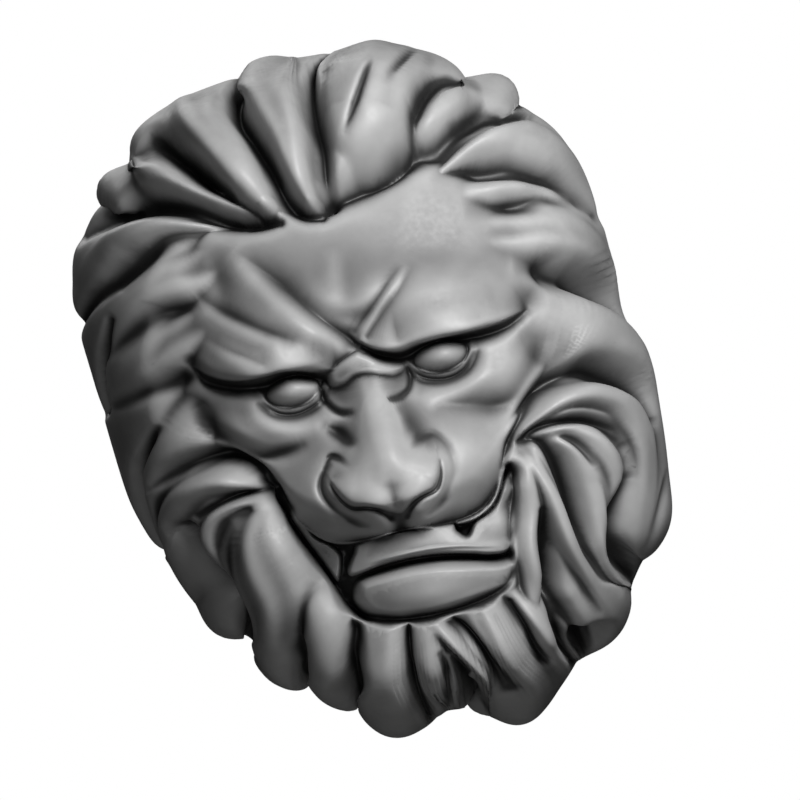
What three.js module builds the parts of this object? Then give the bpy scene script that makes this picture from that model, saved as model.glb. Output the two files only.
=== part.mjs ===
// Lion head wall mask: one solid casting in artificial stone with a flat back that fixes to a wall.
// The wall is the plane y = 0, the face looks along -Y and +Z is up.
// The origin is on the flat back, straight behind the middle of the head.
import * as THREE from "three";

// Overall sizes in millimetres.
const MASK_HEIGHT = 400;
const MASK_WIDTH = 308;
const CROWN_DEPTH = 150;

// The carving is laid out on a drawing whose units are modules, with u to the right, v down
// and the origin midway between the eyes. These are the same three sizes in modules.
const HEIGHT_MODULES = 706;
const WIDTH_MODULES = 545;
const DEPTH_MODULES = 265;
const MM_PER_U = MASK_WIDTH / WIDTH_MODULES;
const MM_PER_V = MASK_HEIGHT / HEIGHT_MODULES;
const MM_PER_H = CROWN_DEPTH / DEPTH_MODULES;

// The drawing is made from a little to the right of the mask and a little above it.
const DRAWN_FROM_SIDE = THREE.MathUtils.degToRad(3.5);
const DRAWN_FROM_ABOVE = THREE.MathUtils.degToRad(4);
const EYE_LINE_RISE = 36;

// The dome under the carving: centre of the outline, its half sizes, and how boxy its section is.
const DOME = { u: 2, v: 17, halfWidth: 274, halfHeight: 353, boxiness: 2.45, chinBoxiness: 4.4 };
const SECTION_STEPS = 240;
const FLANK_RUN = 0.12;
const EDGE_RELIEF_FROM = 0.3;

// The notches of the outline are evened out over this turn.
// They come in where the dome's section is between these shares of its full reach.
const OUTLINE_EVENING = THREE.MathUtils.degToRad(14);
const EVENING_STEPS = 40;
const NOTCHED = { from: 0.86, to: 0.99 };

// Grid lines across and up the mask, and how much closer they lie over the face.
const LINES_ACROSS = 66;
const LINES_UP = 71;
const FACE_CROWDING = 0.34;

// Each crossing of the grid takes the mean of the carving over this share of the way to its neighbours.
const READING_SPREAD = 0.5;

// Where two locks meet, the crease between them is rounded over this height.
const CREASE_SOFTNESS = 5;
const STROKE_STEPS = 5;

// Strands show on a lock from this share of its full breadth, and its section falls off by this power.
const STRANDS_FROM = 0.25;
const LOCK_ROUNDNESS = 0.9;

// The outline of the mask against the wall, clockwise from the left ear level.
const OUTLINE = [
  [-256, -60], [-259, -130], [-254, -160], [-246, -186], [-226, -210], [-206, -228],
  [-209, -246], [-183, -250], [-170, -257], [-166, -274], [-158, -287], [-120, -301],
  [-72, -308], [-56, -308], [-40, -320], [-24, -323], [0, -315], [40, -312], [70, -312],
  [100, -304], [128, -292], [143, -280], [149, -268], [154, -259], [166, -255], [194, -254],
  [200, -246], [200, -234], [207, -218], [232, -185], [248, -128], [252, -60], [260, -10],
  [265, 36], [263, 78], [260, 120], [254, 172], [248, 204], [234, 222], [214, 232], [190, 264],
  [184, 286], [168, 302], [132, 312], [106, 334], [84, 354], [70, 360], [52, 348], [38, 344],
  [32, 334], [0, 328], [-20, 334], [-36, 342], [-52, 345], [-63, 336], [-74, 314], [-92, 309],
  [-104, 296], [-116, 276], [-146, 272], [-158, 258], [-163, 236], [-176, 214], [-198, 206],
  [-206, 180], [-218, 152], [-225, 132], [-231, 119], [-240, 106], [-246, 84], [-251, 50],
  [-254, 0],
];

// The edge of the bare face, inside the hair. Beyond it the mane stands out from the dome.
const FACE_EDGE = [
  [-55, -170], [0, -164], [45, -180], [95, -196], [140, -176], [166, -132], [182, -70],
  [178, -20], [162, 40], [134, 84], [128, 130], [120, 200], [104, 236], [40, 250], [-40, 243],
  [-74, 224], [-92, 170], [-120, 100], [-132, 82], [-152, 50], [-170, 0], [-168, -60],
  [-152, -115], [-115, -172],
];
const MANE_RISE = 24;
const MANE_SOFTNESS = 36;

// Locks of hair. Each row is u, v, half width and rise, from the root to the tip.
const LOCKS = [
  {
    strands: 2, strandDepth: 7,
    rows: [
      [-8, -166, 7, 24], [-18, -188, 17, 40], [-20, -212, 24, 46], [-21, -240, 31, 50],
      [-27, -275, 40, 48], [-23, -305, 42, 36], [-20, -350, 44, 19],
    ],
  },
  {
    strands: 3, strandDepth: 3,
    rows: [
      [38, -180, 20, 2], [45, -196, 32, 20], [53, -216, 43, 40], [60, -242, 51, 52],
      [76, -270, 64, 50], [80, -300, 70, 36], [82, -345, 76, 16],
    ],
  },
  {
    strands: 3, strandDepth: 4,
    rows: [
      [-50, -173, 8, 16], [-57, -186, 17, 32], [-68, -206, 26, 42], [-79, -226, 34, 46],
      [-93, -250, 41, 46], [-108, -275, 48, 40], [-118, -300, 56, 28], [-125, -340, 62, 17],
    ],
  },
  {
    strands: 2, strandDepth: 2,
    rows: [
      [-74, -180, 6, 12], [-98, -196, 12, 28], [-124, -215, 20, 38], [-150, -237, 33, 40],
      [-178, -258, 42, 28], [-215, -285, 46, 8],
    ],
  },
  {
    strands: 2, strandDepth: 3,
    rows: [
      [-108, -181, 4, 8], [-130, -184, 8, 24], [-152, -186, 14, 34], [-176, -184, 21, 38],
      [-202, -178, 27, 36], [-230, -166, 31, 28], [-265, -146, 34, 18],
    ],
  },
  {
    strands: 2, strandDepth: 4,
    rows: [
      [-104, -156, 20, 0], [-135, -143, 30, 8], [-160, -137, 32, 22], [-186, -131, 32, 30],
      [-215, -116, 31, 30], [-250, -88, 32, 20],
    ],
  },
  {
    strands: 2, strandDepth: 4,
    rows: [
      [-140, -94, 22, 0], [-176, -80, 32, 16], [-212, -62, 34, 28], [-244, -26, 30, 22],
      [-262, 20, 26, 14],
    ],
  },
  {
    strands: 1, strandDepth: 0,
    rows: [[-245, 10, 16, 16], [-250, 50, 16, 18], [-246, 100, 10, 14]],
  },
  {
    strands: 1, strandDepth: 0,
    rows: [
      [-166, -14, 20, 4], [-188, 8, 34, 24], [-206, 36, 32, 30], [-228, 72, 16, 26],
      [-234, 110, 10, 16],
    ],
  },
  {
    strands: 1, strandDepth: 0,
    rows: [
      [-116, 92, 10, 2], [-143, 73, 16, 28], [-170, 69, 21, 38], [-195, 78, 24, 38],
      [-214, 102, 21, 32], [-214, 142, 20, 30], [-205, 180, 19, 26], [-192, 214, 15, 16],
    ],
  },
  {
    strands: 1, strandDepth: 0,
    rows: [
      [-116, 96, 8, 2], [-143, 96, 10, 20], [-168, 104, 14, 32], [-181, 128, 16, 32],
      [-179, 158, 14, 28], [-170, 188, 9, 18],
    ],
  },
  {
    strands: 3, strandDepth: 4,
    rows: [
      [-134, 104, 14, 18], [-141, 130, 30, 36], [-136, 160, 40, 44], [-130, 190, 43, 46],
      [-134, 220, 37, 44], [-142, 250, 28, 36], [-143, 290, 22, 22],
    ],
  },
  {
    strands: 2, strandDepth: 4,
    rows: [
      [96, -204, 6, 10], [112, -224, 17, 28], [135, -238, 25, 36], [165, -243, 25, 36],
      [195, -247, 23, 22], [226, -256, 20, 8],
    ],
  },
  {
    strands: 2, strandDepth: 5,
    rows: [
      [122, -184, 5, 8], [150, -192, 15, 30], [175, -191, 24, 38], [200, -185, 31, 38],
      [226, -167, 34, 32], [250, -128, 32, 24], [264, -85, 26, 18],
    ],
  },
  {
    strands: 1, strandDepth: 0,
    rows: [
      [130, -162, 10, 0], [160, -153, 17, 16], [187, -149, 20, 26], [215, -137, 22, 28],
      [242, -110, 22, 26], [262, -66, 22, 18],
    ],
  },
  {
    strands: 2, strandDepth: 4,
    rows: [
      [140, -114, 18, 0], [172, -107, 30, 12], [206, -98, 34, 26], [232, -78, 32, 28],
      [254, -42, 28, 22], [268, 0, 22, 16],
    ],
  },
  {
    strands: 1, strandDepth: 0,
    rows: [
      [160, -18, 32, 2], [186, -10, 46, 18], [212, 0, 50, 34], [236, 24, 46, 36],
      [252, 62, 34, 34], [259, 105, 26, 28], [258, 155, 22, 24], [248, 205, 16, 18],
    ],
  },
  {
    strands: 2, strandDepth: 3,
    rows: [
      [118, 98, 10, 2], [146, 79, 14, 24], [175, 69, 17, 38], [201, 71, 21, 42],
      [223, 87, 21, 40], [235, 116, 20, 36], [236, 150, 20, 30], [228, 185, 18, 26],
      [216, 220, 14, 18],
    ],
  },
  {
    strands: 1, strandDepth: 0,
    rows: [
      [126, 100, 8, 2], [160, 99, 9, 20], [188, 108, 12, 30], [201, 130, 16, 32],
      [203, 160, 15, 28], [197, 190, 13, 24], [190, 218, 9, 16],
    ],
  },
  {
    strands: 2, strandDepth: 4,
    rows: [
      [172, 108, 8, 14], [179, 140, 14, 28], [178, 180, 16, 32], [182, 220, 18, 34],
      [186, 255, 19, 32], [182, 305, 18, 20],
    ],
  },
  {
    strands: 2, strandDepth: 4,
    rows: [
      [138, 104, 10, 4], [144, 150, 12, 30], [148, 185, 13, 38], [153, 215, 15, 38],
      [162, 245, 18, 34], [172, 275, 18, 28], [178, 305, 15, 18],
    ],
  },
  {
    strands: 1, strandDepth: 0,
    rows: [
      [136, 104, 12, 2], [131, 138, 15, 18], [127, 168, 16, 22], [120, 200, 16, 24],
      [113, 228, 14, 28], [104, 252, 12, 22],
    ],
  },
  {
    strands: 1, strandDepth: 0,
    rows: [[264, 110, 14, 18], [262, 160, 18, 20], [248, 212, 16, 16]],
  },
  {
    strands: 1, strandDepth: 0,
    rows: [
      [-92, 182, 10, 6], [-91, 206, 16, 28], [-92, 232, 21, 42], [-96, 262, 25, 38],
      [-100, 300, 23, 28], [-104, 335, 18, 18],
    ],
  },
  {
    strands: 2, strandDepth: 2,
    rows: [
      [-48, 236, 24, 8], [-47, 258, 28, 26], [-48, 280, 31, 41], [-50, 305, 31, 37],
      [-52, 330, 28, 28], [-52, 368, 22, 18],
    ],
  },
  {
    strands: 1, strandDepth: 0,
    rows: [
      [4, 243, 22, 6], [0, 264, 23, 24], [-2, 284, 22, 36], [-4, 305, 20, 28],
      [-3, 350, 20, 16],
    ],
  },
  {
    strands: 1, strandDepth: 0,
    rows: [[6, 254, 9, 14], [24, 274, 10, 32], [38, 296, 9, 34], [50, 322, 8, 26]],
  },
  {
    strands: 3, strandDepth: 2,
    rows: [
      [54, 242, 24, 8], [62, 264, 27, 28], [68, 284, 29, 41], [74, 305, 31, 38],
      [76, 335, 30, 30], [71, 384, 22, 18],
    ],
  },
  {
    strands: 1, strandDepth: 0,
    rows: [
      [92, 238, 15, 8], [100, 260, 16, 28], [106, 280, 17, 36], [110, 295, 18, 32],
      [110, 330, 20, 22], [98, 365, 14, 14],
    ],
  },
  {
    strands: 1, strandDepth: 0,
    rows: [[126, 258, 6, 8], [134, 300, 16, 20], [142, 335, 16, 14]],
  },
];

// Cuts between and along the locks. Each row is u, v, half width and depth.
const HAIR_CUTS = [
  [
    [-44, -328, 4, 8], [-60, -304, 7, 19], [-66, -280, 8.5, 27], [-57, -252, 8.5, 27],
    [-46, -220, 8.5, 27], [-38, -190, 8.5, 27], [-26, -172, 7, 19], [-8, -164, 5, 11],
  ],
  [
    [40, -322, 3, 4], [20, -306, 4, 14], [12, -284, 7, 22], [9, -255, 9.5, 27],
    [9, -225, 9.5, 27], [4, -195, 9.5, 27], [2, -176, 8.5, 22],
  ],
  [
    [-2, -171, 9, 10], [28, -181, 12, 16], [58, -192, 13, 18], [86, -203, 12, 15],
    [108, -214, 9, 6],
  ],
  [[34, -224, 4, 2], [46, -240, 4.5, 8], [58, -257, 4.5, 8], [68, -272, 4, 1]],
  [[72, -248, 6, 0], [90, -266, 6, 4], [106, -284, 6, 4], [120, -304, 6, 1]],
  [
    [-166, -284, 10, 9], [-148, -270, 13, 22], [-126, -245, 13, 30], [-108, -223, 12, 32],
    [-92, -206, 9, 20], [-80, -196, 7, 6],
  ],
  [
    [-242, -200, 8, 8], [-215, -208, 11, 18], [-185, -214, 12, 30], [-158, -210, 12, 32],
    [-130, -199, 12, 32], [-100, -184, 11, 30], [-74, -175, 9, 26], [-50, -168, 5, 8],
  ],
  [
    [-272, -124, 9, 8], [-238, -140, 10, 14], [-208, -151, 12, 20], [-180, -163, 12, 18],
    [-150, -176, 10, 9], [-120, -180, 8, 0],
  ],
  [[-222, -112, 4, 5], [-240, -88, 4, 11], [-251, -58, 5, 16], [-258, -28, 5, 14]],
  [[-236, -84, 9, 5], [-205, -96, 11, 11], [-178, -107, 11, 10], [-146, -114, 10, 0]],
  [
    [-250, -30, 8, 3], [-222, -34, 9, 8], [-198, -37, 9, 12], [-178, -39, 8, 7],
    [-158, -40, 7, 0],
  ],
  [
    [-204, 4, 5, 4], [-221, 22, 5, 16], [-235, 42, 5, 22], [-241, 72, 7, 27],
    [-242, 100, 7, 24], [-238, 122, 5, 14],
  ],
  [
    [-222, 58, 5, 4], [-202, 49, 8.5, 16], [-180, 45, 9.5, 27], [-160, 47, 9.5, 30],
    [-143, 57, 8.5, 27], [-131, 71, 9.5, 27], [-121, 90, 9.5, 24], [-112, 112, 9.5, 14],
  ],
  [[-182, 96, 4, 4], [-165, 90, 4, 11], [-148, 87, 5, 14], [-124, 91, 7, 3]],
  [[-168, 124, 5, 5], [-158, 111, 7, 12], [-142, 104, 7, 14], [-122, 106, 7, 3]],
  [
    [-214, 102, 6, 2], [-203, 101, 6, 14], [-195, 112, 8, 26], [-192, 132, 9, 30],
    [-186, 155, 10, 34], [-177, 178, 11, 36], [-170, 200, 12, 36], [-167, 225, 10, 26],
    [-165, 250, 7, 14],
  ],
  [
    [64, -182, 10, 2], [96, -192, 13, 14], [122, -203, 13, 22], [146, -216, 12, 24],
    [170, -225, 12, 22], [192, -223, 11, 14], [212, -211, 8, 4],
  ],
  [[100, -218, 5, 11], [106, -240, 7, 14], [122, -258, 7, 14], [146, -270, 5, 11]],
  [
    [118, -180, 9, 1], [150, -178, 12, 13], [178, -169, 14, 24], [202, -157, 14, 24],
    [224, -142, 12, 19], [248, -110, 10, 8],
  ],
  [[138, -142, 10, 0], [172, -134, 12, 9], [200, -129, 12, 13], [232, -120, 10, 4]],
  [
    [178, -67, 6, 1], [195, -61, 9, 16], [212, -52, 12, 32], [229, -41, 14, 38],
    [245, -26, 14, 36], [259, -8, 12, 26], [270, 12, 9, 12],
  ],
  [
    [109, 121, 3, 5], [119, 104, 4, 12], [130, 88, 4.5, 16], [143, 74, 6.5, 20],
    [161, 59, 8.5, 24], [181, 49, 11, 27], [202, 46, 12, 30], [221, 53, 13, 32],
    [238, 67, 12, 32], [247, 85, 9, 24], [250, 108, 7, 8],
  ],
  [
    [126, 99, 5, 0], [146, 92, 5, 12], [166, 90, 4.5, 19], [186, 93, 4.5, 19],
    [200, 100, 5, 16], [210, 110, 7, 11], [215, 124, 7, 4],
  ],
  [
    [142, 99, 4, 0], [155, 101, 4, 8], [165, 105, 4, 14], [172, 116, 4.5, 16], [176, 130, 4, 8],
    [177, 142, 3, 1],
  ],
  [
    [134, 100, 4, 3], [147, 101, 5, 12], [156, 111, 7, 24], [162, 132, 9, 32],
    [165, 160, 9, 36], [164, 190, 8, 34], [161, 216, 5, 12],
  ],
  [
    [134, 170, 4, 7], [131, 195, 7, 24], [127, 220, 7, 27], [125, 245, 7, 24],
    [130, 268, 7, 19], [138, 290, 7, 11],
  ],
  [
    [214, 158, 7, 6], [203, 184, 10, 24], [195, 208, 11, 32], [192, 230, 11, 32],
    [195, 250, 9, 22], [201, 264, 6, 8],
  ],
  [[256, 168, 3, 4], [242, 194, 4, 11], [228, 216, 4, 8]],
  [
    [-98, 206, 6, 0], [-108, 230, 7, 9], [-120, 250, 8, 16], [-132, 268, 8, 18],
    [-126, 288, 8, 14],
  ],
  [
    [-68, 236, 5, 11], [-74, 255, 7, 19], [-79, 280, 8.5, 30], [-81, 305, 9.5, 30],
    [-82, 330, 7, 16],
  ],
  [
    [-17, 252, 3, 5], [-21, 270, 4, 18], [-22, 295, 5, 22], [-25, 320, 5, 18],
    [-28, 342, 4, 11],
  ],
  [[8, 276, 3, 4], [10, 295, 4, 11], [6, 320, 4, 5]],
  [[19, 284, 4, 8], [24, 302, 7, 24], [31, 325, 8.5, 30], [38, 350, 7, 19]],
  [[28, 256, 3, 4], [41, 271, 4, 14], [53, 292, 5, 16], [64, 320, 5, 8]],
  [[86, 250, 3, 5], [93, 272, 4, 14], [99, 300, 5, 9]],
  [[119, 236, 4, 8], [121, 268, 7, 22], [122, 298, 9.5, 30], [127, 326, 8.5, 16]],
];
const HAIR_HOLLOWS = [
  { u: 152, v: 297, across: 17, down: 13, rise: -36, turn: -10, firm: 1.6 },
  { u: 130, v: 106, across: 14, down: 12, rise: -7, turn: 0, firm: 1.2 },
];

// Broad forms of the face. Each has a centre, radii, rise, a turn in degrees and an edge firmness.
const FACE_FORMS = [
  { u: 0, v: 108, across: 112, down: 70, rise: 44, turn: 0, firm: 1.5 },
  { u: 15, v: 205, across: 100, down: 40, rise: 50, turn: 0, firm: 1.4 },
  { u: 5, v: 285, across: 130, down: 60, rise: 46, turn: 0, firm: 1.8 },
  { u: -2, v: -66, across: 20, down: 40, rise: -7, turn: 0, firm: 1.0 },
  { u: -118, v: -128, across: 14, down: 30, rise: -6, turn: 0, firm: 1.0 },
  { u: -124, v: -50, across: 26, down: 13, rise: 6, turn: 35, firm: 1.2 },
  { u: 98, v: 172, across: 14, down: 16, rise: 8, turn: 0, firm: 1.0 },
  { u: 116, v: 128, across: 8, down: 11, rise: -14, turn: 30, firm: 1.2 },
  { u: -47, v: 101, across: 14, down: 20, rise: 5, turn: 0, firm: 1.2 },
  { u: 39, v: 101, across: 14, down: 20, rise: 4, turn: 0, firm: 1.2 },
  { u: -31, v: 134, across: 15, down: 6, rise: 6, turn: 18, firm: 1.5 },
  { u: 28, v: 135, across: 15, down: 6, rise: 6, turn: -18, firm: 1.5 },
];
const PAIRED_FORMS = [
  { u: 80, v: -56, across: 84, down: 34, rise: 26, turn: 8, firm: 1.4 },
  { u: 76, v: 4, across: 50, down: 24, rise: -20, turn: 0, firm: 1.6 },
  { u: 124, v: 22, across: 44, down: 34, rise: 15, turn: 20, firm: 1.2 },
  { u: 66, v: 114, across: 46, down: 38, rise: 12, turn: 0, firm: 1.2 },
];
const EYE = { u: 75.5, v: -1, across: 27, down: 16, rise: 27, roundness: 0.6 };

// Raised strokes of the face, rows of u, v, half width and rise.
const FACE_SWELLS = [
  {
    firmness: 3,
    rows: [
      [-2, -8, 18, 4], [0, 12, 25, 16], [-1, 36, 25, 22], [-2, 60, 27, 28], [-3, 84, 38, 34],
      [-3, 104, 47, 36], [-3, 122, 47, 34], [-3, 136, 42, 26],
    ],
  },
  {
    firmness: 3,
    rows: [[1, 6, 13, 3], [1, 45, 13, 5], [1, 90, 15, 4], [0, 112, 16, 1]],
  },
  {
    firmness: 2,
    rows: [[-119, -6, 9, 3], [-113, 16, 11, 6], [-93, 32, 12, 6], [-64, 36, 10, 2]],
  },
  {
    firmness: 2,
    rows: [[120, 2, 10, 3], [110, 22, 11, 5], [88, 34, 11, 5], [58, 36, 10, 3]],
  },
  {
    firmness: 2,
    rows: [[4, -42, 4, 1], [25, -62, 4, 3], [45, -80, 4, 3], [64, -98, 4, 0]],
  },
  {
    firmness: 2,
    rows: [[-8, -134, 10, 0], [-11, -104, 11, 2], [-12, -76, 10, 0]],
  },
  {
    firmness: 2,
    rows: [[-96, -132, 14, 3], [-70, -92, 14, 8], [-44, -58, 12, 8], [-22, -38, 9, 4]],
  },
  {
    firmness: 2,
    rows: [[-138, -96, 10, 2], [-112, -72, 10, 6], [-84, -52, 10, 4]],
  },
];

// Edges where the face stands over what lies beside it: rows of u, v, reach and rise.
// The high ground is on the left hand of each row's run, and it falls away again over the reach.
const FACE_LEDGES = [
  [
    [-168, -50, 22, 0], [-149, -36, 22, 14], [-122, -27, 22, 25], [-98, -26, 22, 26],
    [-82, -27, 22, 26], [-66, -22, 22, 24], [-54, -17, 22, 18], [-42, -14, 22, 9],
    [-28, -13, 22, 0],
  ],
  [
    [-10, -46, 22, 0], [4, -33, 22, 8], [20, -22, 22, 18], [38, -16, 22, 22], [58, -20, 22, 24],
    [80, -22, 22, 25], [104, -21, 22, 25], [132, -21, 22, 17], [150, -24, 22, 8],
    [168, -29, 22, 0],
  ],
  [
    [-60, 92, 12, 1], [-57, 104, 14, 8], [-51, 115, 15, 11], [-43, 121, 15, 11],
    [-30, 124, 15, 11], [-19, 129, 15, 11], [-9, 135, 15, 10], [0, 137, 15, 10],
    [7, 135, 15, 10], [15, 130, 15, 11], [26, 126, 15, 11], [38, 123, 15, 10], [45, 115, 15, 9],
    [48, 106, 14, 5], [49, 96, 12, 1],
  ],
];
const PAIRED_LEDGES = [
  [
    [107, -8, 5, 2], [103, 1, 7, 6], [95, 9, 8, 8], [78, 14, 8, 8], [64, 12, 8, 8],
    [53, 6, 7, 7], [45, -2, 5, 3],
  ],
];
const LEDGE_EDGE = 1.6;

// Cut strokes of the face, rows of u, v, half width and depth.
const FACE_CUTS = [
  [
    [-166, -54, 6, 4], [-155, -33, 8, 14], [-128, -18, 9, 20], [-100, -14, 7, 18],
    [-78, -18, 5, 12], [-56, -11, 6, 14], [-43, -6, 5, 12], [-38, 0, 4, 4],
  ],
  [
    [3, -30, 3, 5], [20, -16, 5, 13], [40, -10, 6, 16], [60, -16, 5, 14], [80, -19, 4, 10],
    [102, -14, 6, 16], [126, -13, 8, 20], [146, -16, 7, 13], [164, -26, 6, 3],
  ],
  [[150, -24, 11, 1], [172, -42, 14, 5], [190, -62, 13, 2]],
  [
    [-168, -8, 8, 3], [-162, 15, 9, 8], [-146, 35, 9, 12], [-122, 53, 8, 13], [-100, 56, 7, 8],
    [-80, 54, 6, 2],
  ],
  [
    [68, 44, 9, 2], [92, 52, 12, 5], [116, 58, 13, 9], [138, 52, 12, 7], [156, 34, 11, 5],
    [172, 8, 10, 2],
  ],
  [[-3, 126, 5, 3], [-3, 138, 9, 12], [-2, 148, 11, 18], [-2, 162, 11, 16]],
  [[-40, -84, 8, 1], [-20, -68, 9, 3], [2, -60, 9, 4], [22, -64, 9, 3], [38, -76, 8, 1]],
  [[-51, 40, 7, 2], [-41, 50, 8, 8], [-31, 62, 6, 5], [-28, 68, 5, 1]],
  [[-62, 80, 3, 2], [-55, 72, 3.5, 5], [-47, 74, 3.5, 5], [-40, 83, 3, 1]],
  [
    [-57, 79, 3, 2], [-66, 88, 4, 6], [-70, 100, 5, 9], [-67, 113, 5, 9], [-58, 126, 5, 8],
    [-46, 136, 5, 6], [-34, 142, 4, 3],
  ],
  [
    [18, 86, 6, 1], [30, 76, 5, 3], [43, 71, 5, 3], [54, 75, 5, 2], [62, 90, 6, 3],
    [62, 108, 7, 4], [54, 124, 6, 4], [42, 136, 5, 3], [28, 143, 4, 2],
  ],
  [
    [-60, 99, 2.5, 3], [-54, 114, 3, 8], [-45, 123.5, 3, 9], [-31, 126.5, 3, 8],
    [-19, 131.5, 3, 9], [-10, 138, 4, 8],
  ],
  [
    [50.5, 100, 2.5, 3], [47, 114, 3, 7], [39, 125, 3, 8], [26, 128.5, 3, 7], [15, 133, 3, 8],
    [7, 139, 4, 7],
  ],
  [[-47, -1, 3, 6], [-48, 12, 3.5, 9], [-43, 23, 4, 9], [-35, 31, 4, 8], [-25, 34, 4, 3]],
  [
    [41, 2, 2.5, 3], [41, 14, 3.5, 6], [37, 25, 4, 6], [27, 31, 5, 4], [15, 33, 6, 2],
    [4, 38, 6, 0],
  ],
];
const PAIRED_CUTS = [
  [[44, 4, 2, 1], [56, 16, 2.2, 4], [76, 21.5, 2.4, 5], [94, 17, 2.2, 4], [107, 3, 2, 1]],
  [[41, 6, 2, 1], [53, 20, 2.6, 3], [76, 26, 3, 3.5], [98, 20, 3, 3], [112, 3, 2.6, 1]],
];

// Furrows with a narrower bottom, in the same rows.
const FACE_FURROWS = [
  [
    [-3, -34, 5, 6], [-12, -44, 9, 12], [-38, -72, 14, 15], [-62, -106, 17, 12],
    [-82, -132, 17, 7], [-100, -152, 15, 1],
  ],
  [
    [-66, -52, 8, 2], [-88, -66, 9, 6], [-112, -84, 10, 8], [-134, -104, 10, 4],
    [-146, -120, 8, 1],
  ],
  [[-98, -38, 6, 2], [-114, -47, 7, 4], [-132, -60, 7, 3], [-144, -72, 6, 1]],
  [[-1, -46, 6, 4], [20, -65, 8, 4], [40, -83, 8, 3], [60, -100, 8, 0]],
  [[9, -38, 7, 5], [32, -58, 10, 5], [52, -76, 10, 3], [74, -100, 10, 0]],
];
const FURROW_FIRMNESS = 1.5;

// Rolled edges of the lips: rows of u, v, how far in the roll begins, and how far it falls.
const LIP_ROLLS = [
  [
    [-127, 80, 12, 4], [-112, 104, 20, 12], [-96, 130, 30, 22], [-70, 152, 34, 26],
    [-40, 156, 32, 24], [0, 154, 28, 20], [36, 160, 32, 24], [68, 158, 34, 26],
    [92, 144, 30, 22], [106, 124, 22, 12], [120, 102, 14, 2],
  ],
];

// Raised plates of the face.
const FACE_PLATES = [
  {
    rise: 9, softness: 7,
    outline: [
      [-38, -10], [-8, -27], [3, -22], [20, -10], [37, -3], [36, 4], [26, 7], [14, 4], [0, -1],
      [-12, -1], [-25, 5], [-38, 3],
    ],
  },
];

// The open mouth: its outline, how deep it is sunk, and the plates and ridges inside it.
const MOUTH = [
  [-127, 82], [-112, 108], [-96, 131], [-70, 153], [-40, 158], [0, 155], [36, 161], [68, 159],
  [92, 145], [104, 128], [112, 119], [119, 117], [123, 125], [119, 150], [112, 180], [104, 200],
  [104, 222], [100, 236], [60, 249], [0, 252], [-48, 243], [-74, 226], [-88, 190], [-104, 150],
  [-118, 112],
];
const MOUTH_SINK = 44;
const MOUTH_SOFTNESS = 5;
const MOUTH_PLATES = [
  {
    rise: 38, softness: 5,
    outline: [
      [-46, 159], [0, 156], [46, 161], [52, 172], [60, 178], [70, 166], [90, 157], [104, 138],
      [120, 116], [130, 112], [122, 148], [113, 176], [104, 196], [94, 204], [76, 202],
      [60, 198], [30, 191], [0, 188], [-30, 189], [-60, 193], [-66, 186], [-56, 170],
    ],
  },
  {
    rise: 47, softness: 15,
    outline: [
      [-68, 200], [-30, 193], [0, 192], [30, 195], [62, 202], [88, 207], [114, 198], [124, 216],
      [114, 238], [84, 244], [20, 249], [-20, 247], [-50, 239], [-70, 226], [-76, 212],
    ],
  },
  {
    rise: 26, softness: 5,
    outline: [
      [-110, 121], [-97, 128], [-87, 144], [-74, 156], [-67, 172], [-77, 196], [-87, 178],
      [-99, 148],
    ],
  },
];
const MOUTH_RIDGES = [
  [
    [54, 164, 3, 30], [70, 163, 4, 40], [86, 156, 4.5, 42], [97, 144, 4.5, 43],
    [106, 130, 3.5, 42], [111, 122, 2.5, 40],
  ],
  [
    [-52, 184, 6, 34], [-20, 182, 7, 42], [14, 182, 7, 43], [46, 186, 7, 42], [70, 192, 7, 40],
    [90, 197, 6, 36],
  ],
  [[122, 132, 5, 30], [117, 152, 10, 42], [110, 178, 13, 46], [101, 198, 9, 38]],
];

// Where carved edges hang over what is below them: the carving is lowered by the rise of these forms.
const DROOPS = [
  { u: 0, v: 146, across: 92, down: 12, rise: 5, turn: 0, firm: 1 },
  { u: -3, v: 122, across: 44, down: 8, rise: 3, turn: 0, firm: 1 },
  { u: -82, v: -32, across: 66, down: 10, rise: 5, turn: 0, firm: 1 },
  { u: 82, v: -30, across: 66, down: 10, rise: 5, turn: 0, firm: 1 },
  { u: 45, v: -196, across: 60, down: 14, rise: 5, turn: 0, firm: 1 },
];

// A smooth curve through rows of numbers, each column carried along together.
function smoothRows(rows, closed) {
  const count = rows.length;
  const spans = closed ? count : count - 1;
  const row = (k) => (closed ? rows[(k + count) % count] : rows[Math.min(Math.max(k, 0), count - 1)]);
  const out = [];
  for (let span = 0; span < spans; span++) {
    const [before, from, to, after] = [row(span - 1), row(span), row(span + 1), row(span + 2)];
    for (let step = 0; step < STROKE_STEPS; step++) {
      const t = step / STROKE_STEPS;
      out.push(from.map((value, k) => catmullRom(before[k], value, to[k], after[k], t)));
    }
  }
  if (!closed) out.push(rows[count - 1].slice());
  return out;
}

function catmullRom(before, from, to, after, t) {
  const slopeFrom = (to - before) / 2;
  const slopeTo = (after - from) / 2;
  const gap = from - to;
  return (
    (2 * gap + slopeFrom + slopeTo) * t ** 3 +
    (-3 * gap - 2 * slopeFrom - slopeTo) * t ** 2 +
    slopeFrom * t +
    from
  );
}

function smoothMax(a, b, softness) {
  const overlap = Math.max(softness - Math.abs(a - b), 0) / softness;
  return Math.max(a, b) + (overlap * overlap * softness) / 4;
}

// How far along a line from 0 to 1 the point nearest to (u, v) lies, and how far off it is, squared.
function nearestOnLine(u0, v0, u1, v1, u, v) {
  const length2 = Math.max((u1 - u0) ** 2 + (v1 - v0) ** 2, 1e-9);
  const t = THREE.MathUtils.clamp(((u - u0) * (u1 - u0) + (v - v0) * (v1 - v0)) / length2, 0, 1);
  return { t, squared: (u - u0 - t * (u1 - u0)) ** 2 + (v - v0 - t * (v1 - v0)) ** 2 };
}

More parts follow.
